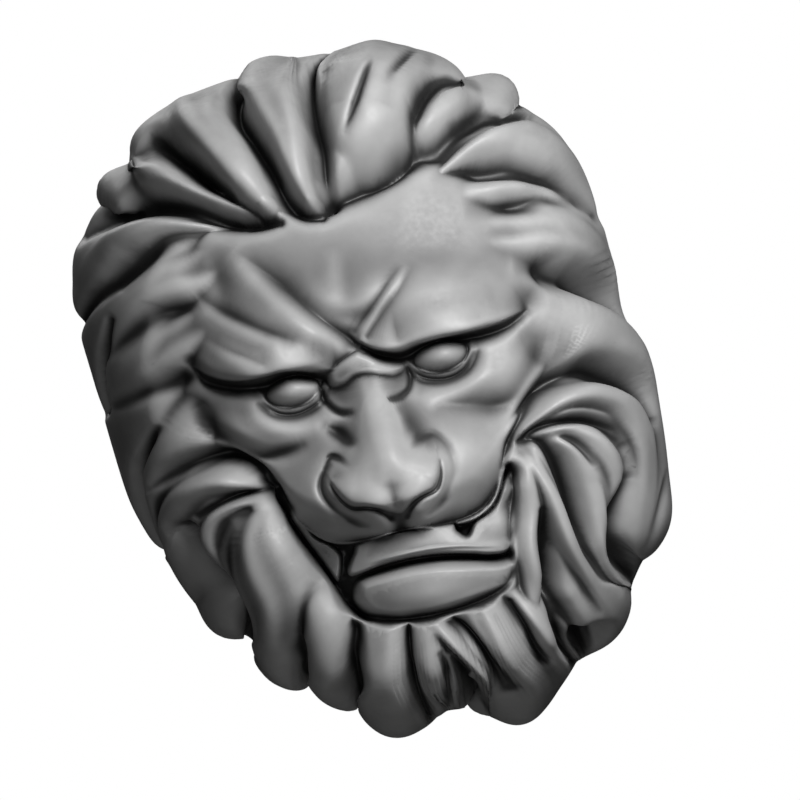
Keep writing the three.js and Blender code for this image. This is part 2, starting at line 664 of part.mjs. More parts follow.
// A stroke's smooth line, its greatest half width, and the box beyond which it does nothing.
function asStroke(rows, reach) {
  const line = smoothRows(rows, false);
  const breadth = Math.max(...line.map((row) => row[2]));
  const box = new THREE.Box2().setFromPoints(line.map(([u, v]) => new THREE.Vector2(u, v)));
  return { line, breadth, box: box.expandByScalar(reach * breadth) };
}

// The point of a stroke nearest to (u, v): the signed distance in half widths, and its sizes there.
function nearestOnStroke({ line, box }, u, v) {
  if (u < box.min.x || u > box.max.x || v < box.min.y || v > box.max.y) return null;
  let best = { squared: Infinity };
  for (let k = 0; k + 1 < line.length; k++) {
    const [u0, v0, w0, h0] = line[k];
    const [u1, v1, w1, h1] = line[k + 1];
    const { t, squared } = nearestOnLine(u0, v0, u1, v1, u, v);
    if (squared < best.squared) {
      const side = Math.sign((u1 - u0) * (v - v0) - (v1 - v0) * (u - u0));
      best = { squared, side, halfWidth: w0 + t * (w1 - w0), height: h0 + t * (h1 - h0) };
    }
  }
  const offset = (best.side * Math.sqrt(best.squared)) / best.halfWidth;
  return { offset, halfWidth: best.halfWidth, height: best.height };
}

// A rounded lock or ridge: full height on its line, none at its half width, fluted into strands.
function pillow(stroke, u, v, strands = 1, strandDepth = 0) {
  const near = nearestOnStroke(stroke, u, v);
  if (!near) return 0;
  const fullness = THREE.MathUtils.smoothstep(near.halfWidth / stroke.breadth, STRANDS_FROM, 1);
  const wave = strands > 1 ? 0.5 + 0.5 * Math.cos(Math.PI * strands * (near.offset + 1)) : 0;
  const section = Math.max(1 - near.offset ** 2, 0) ** LOCK_ROUNDNESS;
  return (near.height - wave * strandDepth * fullness) * section;
}

// A stroke with soft shoulders, used for cuts, furrows and swells.
function softStroke(stroke, u, v, firmness = 2) {
  const near = nearestOnStroke(stroke, u, v);
  return near ? near.height * Math.exp(-(Math.abs(near.offset) ** firmness)) : 0;
}

// High ground on the left hand of a stroke, which falls away again over its reach.
function ledge(stroke, u, v) {
  const near = nearestOnStroke(stroke, u, v);
  if (!near) return 0;
  const raised = THREE.MathUtils.smoothstep(-near.offset * near.halfWidth, -LEDGE_EDGE, LEDGE_EDGE);
  return near.height * Math.exp(-(near.offset ** 2)) * raised;
}

function rolledEdge(stroke, u, v) {
  const near = nearestOnStroke(stroke, u, v);
  return near ? near.height * Math.max(1 - Math.abs(near.offset), 0) ** 2 : 0;
}

function mound(form, u, v) {
  const turn = THREE.MathUtils.degToRad(form.turn);
  const du = u - form.u;
  const dv = v - form.v;
  const across = (du * Math.cos(turn) + dv * Math.sin(turn)) / form.across;
  const down = (-du * Math.sin(turn) + dv * Math.cos(turn)) / form.down;
  return form.rise * Math.exp(-((across ** 2 + down ** 2) ** form.firm));
}

// The same stroke on the other side of the face, run backwards so that its left hand stays its left.
function mirrored(rows) {
  return rows.map(([u, ...rest]) => [-u, ...rest]).reverse();
}

const bothSides = (paired) => [...paired, ...paired.map(mirrored)];

// How far inside a closed outline a point lies, negative outside it.
function depthInside(outline, u, v) {
  let inside = false;
  let nearest = Infinity;
  outline.forEach(([u0, v0], k) => {
    const [u1, v1] = outline[(k + 1) % outline.length];
    if (v0 > v !== v1 > v && u < ((u1 - u0) * (v - v0)) / (v1 - v0) + u0) inside = !inside;
    nearest = Math.min(nearest, nearestOnLine(u0, v0, u1, v1, u, v).squared);
  });
  return (inside ? 1 : -1) * Math.sqrt(nearest);
}

// A plate at full rise inside its outline, rounding over to nothing at its edge.
function plate({ outline, rise, softness }, u, v) {
  const share = THREE.MathUtils.clamp(depthInside(outline, u, v) / softness, 0, 1);
  return rise * (1 - (1 - share) ** 2);
}

function eyeball(side, u, v) {
  const across = (u - side * EYE.u) / EYE.across;
  const down = (v - EYE.v) / EYE.down;
  return EYE.rise * Math.max(1 - across ** 2 - down ** 2, 0) ** EYE.roundness;
}

// How many half widths out a stroke still counts: a soft one fades further off than a firm one.
const SOFT_REACH = 2.6;
const FIRM_REACH = 1;
const softStrokes = (strokes) => strokes.map((rows) => asStroke(rows, SOFT_REACH));
const firmStrokes = (strokes) => strokes.map((rows) => asStroke(rows, FIRM_REACH));
const smoothPlates = (plates) =>
  plates.map((entry) => ({ ...entry, outline: smoothRows(entry.outline, true) }));

const hair = {
  locks: LOCKS.map((lock) => ({ ...lock, stroke: asStroke(lock.rows, FIRM_REACH) })),
  cuts: softStrokes(HAIR_CUTS),
};
const face = {
  edge: smoothRows(FACE_EDGE, true),
  forms: [
    ...FACE_FORMS,
    ...PAIRED_FORMS,
    ...PAIRED_FORMS.map((form) => ({ ...form, u: -form.u, turn: -form.turn })),
  ],
  swells: FACE_SWELLS.map((swell) => ({ ...swell, stroke: asStroke(swell.rows, SOFT_REACH) })),
  ledges: softStrokes([...FACE_LEDGES, ...bothSides(PAIRED_LEDGES)]),
  cuts: softStrokes([...FACE_CUTS, ...bothSides(PAIRED_CUTS)]),
  furrows: softStrokes(FACE_FURROWS),
  rolls: firmStrokes(LIP_ROLLS),
  plates: smoothPlates(FACE_PLATES),
};
const mouth = {
  edge: smoothRows(MOUTH, true),
  plates: smoothPlates(MOUTH_PLATES),
  ridges: firmStrokes(MOUTH_RIDGES),
};

const sumOf = (items, height) => items.reduce((sum, item) => sum + height(item), 0);
const topOf = (items, floor, height) =>
  items.reduce((top, item) => smoothMax(top, height(item), CREASE_SOFTNESS), floor);

// None on the face, rising to one inside the open mouth.
function mouthOpening(u, v) {
  return THREE.MathUtils.smoothstep(depthInside(mouth.edge, u, v), 0, MOUTH_SOFTNESS);
}

// What the face stands out from the dome, towards the viewer.
function faceRelief(u, v) {
  const broad =
    sumOf(face.forms, (form) => mound(form, u, v)) + eyeball(-1, u, v) + eyeball(1, u, v);
  const raised =
    sumOf(face.swells, ({ stroke, firmness }) => softStroke(stroke, u, v, firmness)) +
    sumOf(face.ledges, (stroke) => ledge(stroke, u, v)) +
    sumOf(face.plates, (entry) => plate(entry, u, v));
  const cut =
    sumOf(face.cuts, (stroke) => softStroke(stroke, u, v)) +
    sumOf(face.furrows, (stroke) => softStroke(stroke, u, v, FURROW_FIRMNESS)) +
    sumOf(face.rolls, (stroke) => rolledEdge(stroke, u, v));
  const open = mouthOpening(u, v);
  const plates = topOf(mouth.plates, 0, (entry) => plate(entry, u, v));
  const within = topOf(mouth.ridges, plates, (stroke) => pillow(stroke, u, v));
  return broad + (raised - cut) * (1 - open) + open * (within - MOUTH_SINK);
}

// What the hair stands out from the dome, square to its surface.
function hairRelief(u, v) {
  const beyondFace = -depthInside(face.edge, u, v);
  const mane = MANE_RISE * THREE.MathUtils.smoothstep(beyondFace, 0, MANE_SOFTNESS);
  const raised = topOf(hair.locks, mane, ({ stroke, strands, strandDepth }) =>
    pillow(stroke, u, v, strands, strandDepth),
  );
  const cut = sumOf(hair.cuts, (stroke) => softStroke(stroke, u, v));
  const hollows = sumOf(HAIR_HOLLOWS, (form) => mound(form, u, v));
  return (raised - cut + hollows) * (1 - mouthOpening(u, v));
}

// The outline as a table of radius against angle about the middle of the dome.
const outlineRadii = smoothRows(OUTLINE, true)
  .map(([u, v]) => ({
    angle: Math.atan2(v - DOME.v, u - DOME.u),
    radius: Math.hypot(u - DOME.u, v - DOME.v),
  }))
  .sort((a, b) => a.angle - b.angle);

const fullTurn = (angle) => THREE.MathUtils.euclideanModulo(angle, 2 * Math.PI);

function outlineRadius(angle) {
  const within = fullTurn(angle + Math.PI) - Math.PI;
  const next = outlineRadii.findIndex((entry) => entry.angle > within);
  const to = outlineRadii[Math.max(next, 0)];
  const from = outlineRadii.at(next > 0 ? next - 1 : -1);
  const t = fullTurn(within - from.angle) / fullTurn(to.angle - from.angle);
  return from.radius + t * (to.radius - from.radius);
}

// The outline's radius with its notches evened out, which the dome follows away from the wall.
function evenRadius(angle) {
  let sum = 0;
  for (let step = 0; step <= EVENING_STEPS; step++) {
    sum += outlineRadius(angle + OUTLINE_EVENING * ((2 * step) / EVENING_STEPS - 1));
  }
  return sum / (EVENING_STEPS + 1);
}

function superellipse(angle, boxiness) {
  return {
    reach: Math.sin(angle) ** (2 / boxiness),
    height: Math.max(Math.cos(angle), 0) ** (2 / boxiness),
  };
}

// The angles of the dome's section against the length of its arc, from 0 at the crown to 1 at the rim.
const arc = (() => {
  const points = [{ angle: 0, length: 0, reach: 0, height: 1 }];
  for (let k = 1; k <= SECTION_STEPS; k++) {
    const angle = (k / SECTION_STEPS) * (Math.PI / 2);
    const { reach, height } = superellipse(angle, DOME.boxiness);
    const before = points[k - 1];
    const length = before.length + Math.hypot(reach - before.reach, height - before.height);
    points.push({ angle, length, reach, height });
  }
  const whole = points[SECTION_STEPS].length;
  return points.map(({ angle, length }) => ({ angle, share: length / whole }));
})();

// Reach and height of the dome as shares, boxier towards the chin.
function domeSection(share, direction) {
  const next = Math.max(arc.findIndex((point) => point.share >= share - 1e-12), 1);
  const [from, to] = [arc[next - 1], arc[next]];
  const angle = THREE.MathUtils.mapLinear(share, from.share, to.share, from.angle, to.angle);
  const chin = Math.max(Math.sin(direction), 0) ** 2;
  return superellipse(angle, THREE.MathUtils.lerp(DOME.boxiness, DOME.chinBoxiness, chin));
}

const crowded = (s) => s * (1 - FACE_CROWDING) + FACE_CROWDING * s ** 3;

// One crossing of the grid: where it lies on the dome and where the carving is read for it.
function gridPoint(across, up) {
  const a = crowded((2 * across) / LINES_ACROSS - 1);
  const b = crowded((2 * up) / LINES_UP - 1);
  const p = a * Math.sqrt(1 - (b * b) / 2);
  const q = b * Math.sqrt(1 - (a * a) / 2);
  const atRim = across === 0 || up === 0 || across === LINES_ACROSS || up === LINES_UP;
  const direction = Math.atan2(-q * DOME.halfHeight, p * DOME.halfWidth);
  const section = domeSection(THREE.MathUtils.clamp(Math.hypot(p, q), 1e-9, 1), direction);
  const height = atRim ? 0 : section.height;
  const notched = THREE.MathUtils.smoothstep(section.reach, NOTCHED.from, NOTCHED.to);
  const radius = THREE.MathUtils.lerp(evenRadius(direction), outlineRadius(direction), notched);
  const onDrawing = (reach) => ({
    u: DOME.u + Math.cos(direction) * radius * reach,
    v: DOME.v + Math.sin(direction) * radius * reach,
  });
  const base = onDrawing(section.reach);
  return {
    place: domePlace(base.u, base.v, height * DEPTH_MODULES),
    read: onDrawing(section.reach + FLANK_RUN * (1 - height) ** 3),
    edge: THREE.MathUtils.smoothstep(height, 0, EDGE_RELIEF_FROM),
  };
}

// From the drawing to modules in the mask's own frame: across, out from the wall and up.
function domePlace(u, v, h) {
  const ahead = h - DEPTH_MODULES;
  return new THREE.Vector3(
    (u + ahead * Math.sin(DRAWN_FROM_SIDE)) / Math.cos(DRAWN_FROM_SIDE),
    h,
    (ahead * Math.sin(DRAWN_FROM_ABOVE) - v) / Math.cos(DRAWN_FROM_ABOVE) + EYE_LINE_RISE,
  );
}

// The mean of a relief at a crossing and part of the way to each of its four neighbours.
function meanRelief(relief, here, neighbours) {
  const places = neighbours.map((there) => ({
    u: THREE.MathUtils.lerp(here.u, there.u, READING_SPREAD),
    v: THREE.MathUtils.lerp(here.v, there.v, READING_SPREAD),
  }));
  return sumOf([here, ...places], ({ u, v }) => relief(u, v)) / (places.length + 1);
}

const TOWARDS_DRAWING = new THREE.Vector3(Math.sin(DRAWN_FROM_SIDE), 1, Math.sin(DRAWN_FROM_ABOVE));

function carvedGrid() {
  const grid = [];
  for (let up = 0; up <= LINES_UP; up++) {
    grid.push(Array.from({ length: LINES_ACROSS + 1 }, (_, across) => gridPoint(across, up)));
  }
  return grid.map((line, up) =>
    line.map((point, across) => {
      if (point.edge === 0) return point.place.clone();
      const [left, right] = [line[across - 1], line[across + 1]];
      const [below, above] = [grid[up - 1][across], grid[up + 1][across]];
      const along = right.place.clone().sub(left.place);
      const outward = above.place.clone().sub(below.place).cross(along).normalize();
      const around = [left.read, right.read, below.read, above.read];
      const hairRise = point.edge * meanRelief(hairRelief, point.read, around);
      const faceRise = point.edge * meanRelief(faceRelief, point.read, around);
      const carved = point.place.clone().addScaledVector(outward, hairRise);
      carved.addScaledVector(TOWARDS_DRAWING, faceRise);
      carved.z -= point.edge * sumOf(DROOPS, (form) => mound(form, point.read.u, point.read.v));
      return carved;
    }),
  );
}

// Modules to millimetres, with the face along -Y.
function toMillimetres(place) {
  return [place.x * MM_PER_U, -Math.max(place.y, 0) * MM_PER_H, place.z * MM_PER_V];
}

// Two triangles for each cell of the grid, split along its shorter diagonal.
function frontTriangles(grid, indexOf) {
  const triangles = [];
  for (let up = 0; up < LINES_UP; up++) {
    for (let across = 0; across < LINES_ACROSS; across++) {
      const corners = [[across, up], [across + 1, up], [across + 1, up + 1], [across, up + 1]];
      const [p0, p1, p2, p3] = corners.map(([i, j]) => grid[j][i]);
      const [k0, k1, k2, k3] = corners.map(([i, j]) => indexOf(i, j));
      const rising = p0.distanceTo(p2) <= p1.distanceTo(p3);
      triangles.push(...(rising ? [k0, k1, k2, k0, k2, k3] : [k0, k1, k3, k1, k2, k3]));
    }
  }
  return triangles;
}

// The crossings round the rim in order, for the flat back.
function rimIndices(indexOf) {
  const rim = [];
  for (let i = 0; i < LINES_ACROSS; i++) rim.push(indexOf(i, 0));
  for (let j = 0; j < LINES_UP; j++) rim.push(indexOf(LINES_ACROSS, j));
  for (let i = LINES_ACROSS; i > 0; i--) rim.push(indexOf(i, LINES_UP));
  for (let j = LINES_UP; j > 0; j--) rim.push(indexOf(0, j));
  return rim;
}

function maskGeometry() {
  const grid = carvedGrid();
  const indexOf = (across, up) => up * (LINES_ACROSS + 1) + across;
  const positions = grid.flat().flatMap(toMillimetres);
  const middle = positions.length / 3;
  positions.push(0, 0, 0);
  const rim = rimIndices(indexOf);
  const back = rim.flatMap((index, k) => [middle, rim[(k + 1) % rim.length], index]);
  const geometry = new THREE.BufferGeometry();
  geometry.setAttribute("position", new THREE.Float32BufferAttribute(positions, 3));
  geometry.setIndex([...frontTriangles(grid, indexOf), ...back]);
  geometry.computeVertexNormals();
  return geometry;
}

const stone = new THREE.MeshStandardMaterial({ color: 0x8f8f8d, roughness: 0.55, metalness: 0 });

const mask = new THREE.Mesh(maskGeometry(), stone);
mask.name = "lion_mask";

const part = new THREE.Group();
part.add(mask);

export default part;
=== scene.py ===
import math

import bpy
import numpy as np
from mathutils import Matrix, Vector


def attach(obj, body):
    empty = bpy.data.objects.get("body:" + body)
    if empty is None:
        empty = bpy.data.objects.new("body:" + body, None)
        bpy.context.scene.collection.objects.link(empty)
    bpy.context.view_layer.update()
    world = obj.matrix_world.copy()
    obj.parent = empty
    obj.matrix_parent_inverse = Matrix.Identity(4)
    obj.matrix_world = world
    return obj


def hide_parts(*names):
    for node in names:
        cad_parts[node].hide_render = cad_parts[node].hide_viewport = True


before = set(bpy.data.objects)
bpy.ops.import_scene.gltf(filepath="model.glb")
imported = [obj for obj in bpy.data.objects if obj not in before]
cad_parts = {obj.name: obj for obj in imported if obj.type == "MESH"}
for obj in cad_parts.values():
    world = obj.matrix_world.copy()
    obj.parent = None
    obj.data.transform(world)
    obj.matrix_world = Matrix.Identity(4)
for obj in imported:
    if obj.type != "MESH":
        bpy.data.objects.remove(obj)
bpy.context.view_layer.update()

# Lion head wall mask in cast stone: the finely carved surface that stands for the faceted solid.
# The wall is the plane y = 0, the face looks along -Y and +Z is up.
# The carving is laid out in modules: u to the right and v down from between the eyes, and h out
# from the wall.

# The mask's sizes in metres as the drawing shows them, and the same sizes in modules.
MASK_HEIGHT = 0.400
MASK_WIDTH = 0.308
CROWN_DEPTH = 0.150
HEIGHT_MODULES = 706
WIDTH_MODULES = 545
DEPTH_MODULES = 265
METRES_PER_U = MASK_WIDTH / WIDTH_MODULES
METRES_PER_V = MASK_HEIGHT / HEIGHT_MODULES
METRES_PER_H = CROWN_DEPTH / DEPTH_MODULES

# The drawing is made from a little to the right of the mask and a little above it, and the point
# between the eyes lies EYE_LINE_RISE modules above the middle of the mask.
DRAWN_FROM_SIDE = math.radians(3.5)
DRAWN_FROM_ABOVE = math.radians(4)
EYE_LINE_RISE = 36

# The dome under the carving: centre of the outline, its half sizes, how boxy its section is, and
# the steps in which the length of the section's arc is measured.
DOME_U, DOME_V = 2, 17
DOME_HALF_WIDTH, DOME_HALF_HEIGHT = 274, 353
DOME_BOXINESS, CHIN_BOXINESS = 2.45, 4.4
SECTION_STEPS = 240

# How the carving lies on the dome: how much farther out the drawing is read beside the wall, the
# height as a share from which the relief is full, the turn and steps over which the outline's
# notches are evened out, and the reaches between which the notches come in.
FLANK_RUN = 0.12
EDGE_RELIEF_FROM = 0.3
OUTLINE_EVENING = math.radians(14)
EVENING_STEPS = 41
NOTCHED_FROM_TO = (0.86, 0.99)

# Grid lines across and up the mask, how much closer they lie over the face, and how many
# triangles are kept of what they make.
LINES_ACROSS = 460
LINES_UP = 564
FACE_CROWDING = 0.45
MOST_TRIANGLES = 190_000

# The least that a length is taken to be where something is divided by it.
TINY = 1e-9

# How many times the surface is smoothed to find how deep its creases and its wider hollows are. The
# depths paint shade into the stone's colour in creases and hollows, and a highlight on its high
# spots.
CREASE_PASSES = 24
HOLLOW_PASSES = 220

# How strokes are drawn: steps between two of their rows, how far out they are worked out in half
# widths, the share of a lock's full width at which its flutes begin, how round locks are and how
# firm furrows are.
STROKE_STEPS = 6
SOFT_REACH = 2.6
FLUTES_FROM = 0.25
LOCK_ROUNDNESS = 0.9
FURROW_FIRMNESS = 1.5

# The difference in height below which the crease between two raised forms is filled.
CREASE_SOFTNESS = 5

# The outline of the mask against the wall, clockwise from the left ear level.
OUTLINE = [
    (-256, -60), (-259, -130), (-254, -160), (-246, -186), (-226, -210), (-206, -228),
    (-209, -246), (-183, -250), (-170, -257), (-166, -274), (-158, -287), (-120, -301),
    (-72, -308), (-56, -308), (-40, -320), (-24, -323), (0, -315), (40, -312), (70, -312),
    (100, -304), (128, -292), (143, -280), (149, -268), (154, -259), (166, -255), (194, -254),
    (200, -246), (200, -234), (207, -218), (232, -185), (248, -128), (252, -60), (260, -10),
    (265, 36), (263, 78), (260, 120), (254, 172), (248, 204), (234, 222), (214, 232),
    (190, 264), (184, 286), (168, 302), (132, 312), (106, 334), (84, 354), (70, 360), (52, 348),
    (38, 344), (32, 334), (0, 328), (-20, 334), (-36, 342), (-52, 345), (-63, 336), (-74, 314),
    (-92, 309), (-104, 296), (-116, 276), (-146, 272), (-158, 258), (-163, 236), (-176, 214),
    (-198, 206), (-206, 180), (-218, 152), (-225, 132), (-231, 119), (-240, 106), (-246, 84),
    (-251, 50), (-254, 0),
]

# The edge of the bare face, inside the hair. Beyond it the mane stands out from the dome.
FACE_EDGE = [
    (-55, -170), (0, -164), (45, -180), (95, -196), (140, -176), (166, -132), (182, -70),
    (178, -20), (162, 40), (134, 84), (128, 130), (120, 200), (104, 236), (40, 250), (-40, 243),
    (-74, 224), (-92, 170), (-120, 100), (-132, 82), (-152, 50), (-170, 0), (-168, -60),
    (-152, -115), (-115, -172),
]
MANE_RISE = 24
MANE_SOFTNESS = 36

# Locks of hair: rows of u, v, half width and rise from root to tip, then strands and their depth.
LOCKS = [
    (
        [
            (-14, -181, 13, 26), (-18, -196, 19, 40), (-20, -214, 24, 46), (-21, -240, 31, 50),
            (-27, -275, 40, 48), (-23, -305, 42, 36), (-20, -350, 44, 19),
        ],
        2, 7,
    ),
    (
        [
            (57, -239, 53, 53), (64, -256, 57, 57), (74, -274, 64, 53), (80, -300, 72, 38),
            (82, -345, 76, 16),
        ],
        3, 3,
    ),
    (
        [
            (-58, -188, 14, 24), (-63, -198, 20, 35), (-70, -210, 27, 43), (-79, -226, 34, 46),
            (-93, -250, 41, 46), (-108, -275, 48, 40), (-118, -300, 56, 28),
            (-125, -340, 62, 17),
        ],
        3, 4,
    ),
    (
        [
            (-74, -180, 6, 12), (-98, -196, 12, 28), (-124, -215, 20, 38), (-150, -237, 33, 40),
            (-178, -258, 42, 28), (-215, -285, 46, 8),
        ],
        2, 2,
    ),
    (
        [
            (-108, -181, 4, 8), (-130, -184, 8, 24), (-152, -186, 14, 34), (-176, -184, 21, 38),
            (-202, -178, 27, 36), (-230, -166, 31, 28), (-265, -146, 34, 18),
        ],
        2, 3,
    ),
    (
        [
            (-104, -156, 20, 0), (-135, -143, 30, 8), (-160, -137, 32, 22),
            (-186, -131, 32, 30), (-215, -116, 31, 30), (-250, -88, 32, 20),
        ],
        2, 4,
    ),
    (
        [
            (-140, -94, 22, 0), (-176, -80, 32, 16), (-212, -62, 34, 28), (-244, -26, 30, 22),
            (-262, 20, 26, 14),
        ],
        2, 4,
    ),
    ([(-245, 10, 16, 16), (-250, 50, 16, 18), (-246, 100, 10, 14)], 1, 0),
    (
        [
            (-166, -14, 20, 4), (-188, 8, 34, 24), (-206, 36, 32, 30), (-228, 72, 16, 26),
            (-234, 110, 10, 16),
        ],
        1, 0,
    ),
    (
        [
            (-116, 92, 10, 2), (-143, 73, 16, 28), (-170, 69, 21, 38), (-195, 78, 24, 38),
            (-214, 102, 21, 32), (-214, 142, 20, 30), (-205, 180, 19, 26), (-192, 214, 15, 16),
        ],
        1, 0,
    ),
    (
        [
            (-116, 96, 8, 2), (-143, 96, 10, 20), (-168, 104, 14, 32), (-181, 128, 16, 32),
            (-179, 158, 14, 28), (-170, 188, 9, 18),
        ],
        1, 0,
    ),
    (
        [
            (-134, 106, 22, 18), (-139, 130, 31, 36), (-136, 160, 38, 44), (-130, 190, 42, 46),
            (-134, 220, 37, 44), (-142, 250, 28, 36), (-143, 290, 22, 22),
        ],
        3, 4,
    ),
    (
        [
            (108, -222, 12, 14), (120, -230, 18, 26), (140, -239, 22, 34), (165, -244, 21, 33),
            (192, -249, 16, 20), (222, -258, 12, 6),
        ],
        2, 4,
    ),
    (
        [
            (122, -184, 5, 8), (150, -192, 15, 30), (175, -191, 24, 38), (200, -185, 31, 38),
            (226, -167, 34, 32), (250, -128, 32, 24), (264, -85, 26, 18),
        ],
        2, 5,
    ),
    (
        [
            (130, -162, 10, 0), (160, -153, 17, 16), (187, -149, 20, 26), (215, -137, 22, 28),
            (242, -110, 22, 26), (262, -66, 22, 18),
        ],
        1, 0,
    ),
    (
        [
            (140, -114, 18, 0), (172, -107, 30, 12), (206, -98, 34, 26), (232, -78, 32, 28),
            (254, -42, 28, 22), (268, 0, 22, 16),
        ],
        2, 4,
    ),
    (
        [
            (160, -18, 32, 2), (186, -10, 46, 18), (212, 0, 50, 34), (236, 24, 46, 36),
            (252, 62, 34, 34), (259, 105, 26, 28), (258, 155, 22, 24), (248, 205, 16, 18),
        ],
        1, 0,
    ),
    (
        [
            (118, 98, 10, 2), (146, 79, 14, 24), (175, 69, 17, 38), (201, 71, 21, 42),
            (223, 87, 21, 40), (235, 116, 20, 36), (236, 150, 20, 30), (228, 185, 18, 26),
            (216, 220, 14, 18),
        ],
        2, 3,
    ),
    (
        [
            (138, 102, 8, 0), (164, 101, 10, 12), (188, 109, 13, 27), (201, 130, 16, 32),
            (203, 160, 15, 28), (197, 190, 13, 24), (190, 218, 9, 16),
        ],
        1, 0,
    ),
    (
        [
            (182, 136, 13, 10), (182, 158, 15, 26), (180, 186, 16, 32), (182, 220, 18, 34),
            (186, 255, 19, 32), (182, 305, 18, 20),
        ],
        2, 4,
    ),
    (
        [
            (138, 104, 10, 4), (144, 150, 12, 30), (148, 185, 13, 38), (153, 215, 15, 38),
            (162, 245, 18, 34), (172, 275, 18, 28), (178, 305, 15, 18),
        ],
        2, 4,
    ),
    (
        [
            (136, 104, 12, 2), (131, 138, 15, 18), (127, 168, 16, 22), (120, 200, 16, 24),
            (113, 228, 14, 28), (104, 252, 12, 22),
        ],
        1, 0,
    ),
    ([(264, 110, 14, 14), (262, 160, 18, 15), (248, 212, 16, 12)], 1, 0),
    (
        [
            (-105, 190, 15, 22), (-99, 211, 20, 33), (-95, 232, 24, 40), (-96, 264, 25, 38),
            (-100, 300, 23, 28), (-104, 335, 18, 18),
        ],
        1, 0,
    ),
    (
        [
            (-48, 236, 24, 8), (-47, 258, 28, 26), (-48, 280, 31, 41), (-50, 305, 31, 37),
            (-52, 330, 28, 28), (-52, 368, 22, 18),
        ],
        2, 2,
    ),
    (
        [
            (4, 243, 22, 6), (0, 264, 23, 24), (-2, 284, 22, 36), (-4, 305, 20, 28),
            (-3, 350, 20, 16),
        ],
        1, 0,
    ),
    ([(6, 254, 9, 14), (24, 274, 10, 32), (38, 296, 9, 34), (50, 322, 8, 26)], 1, 0),
    (
        [
            (54, 242, 24, 8), (62, 264, 27, 28), (68, 284, 29, 41), (74, 305, 31, 38),
            (76, 335, 30, 30), (71, 384, 22, 18),
        ],
        3, 2,
    ),
    (
        [
            (92, 238, 15, 8), (100, 260, 16, 28), (106, 280, 17, 36), (110, 295, 18, 32),
            (110, 330, 20, 22), (98, 365, 14, 14),
        ],
        1, 0,
    ),
    ([(126, 258, 6, 8), (134, 300, 16, 20), (142, 335, 16, 14)], 1, 0),
]

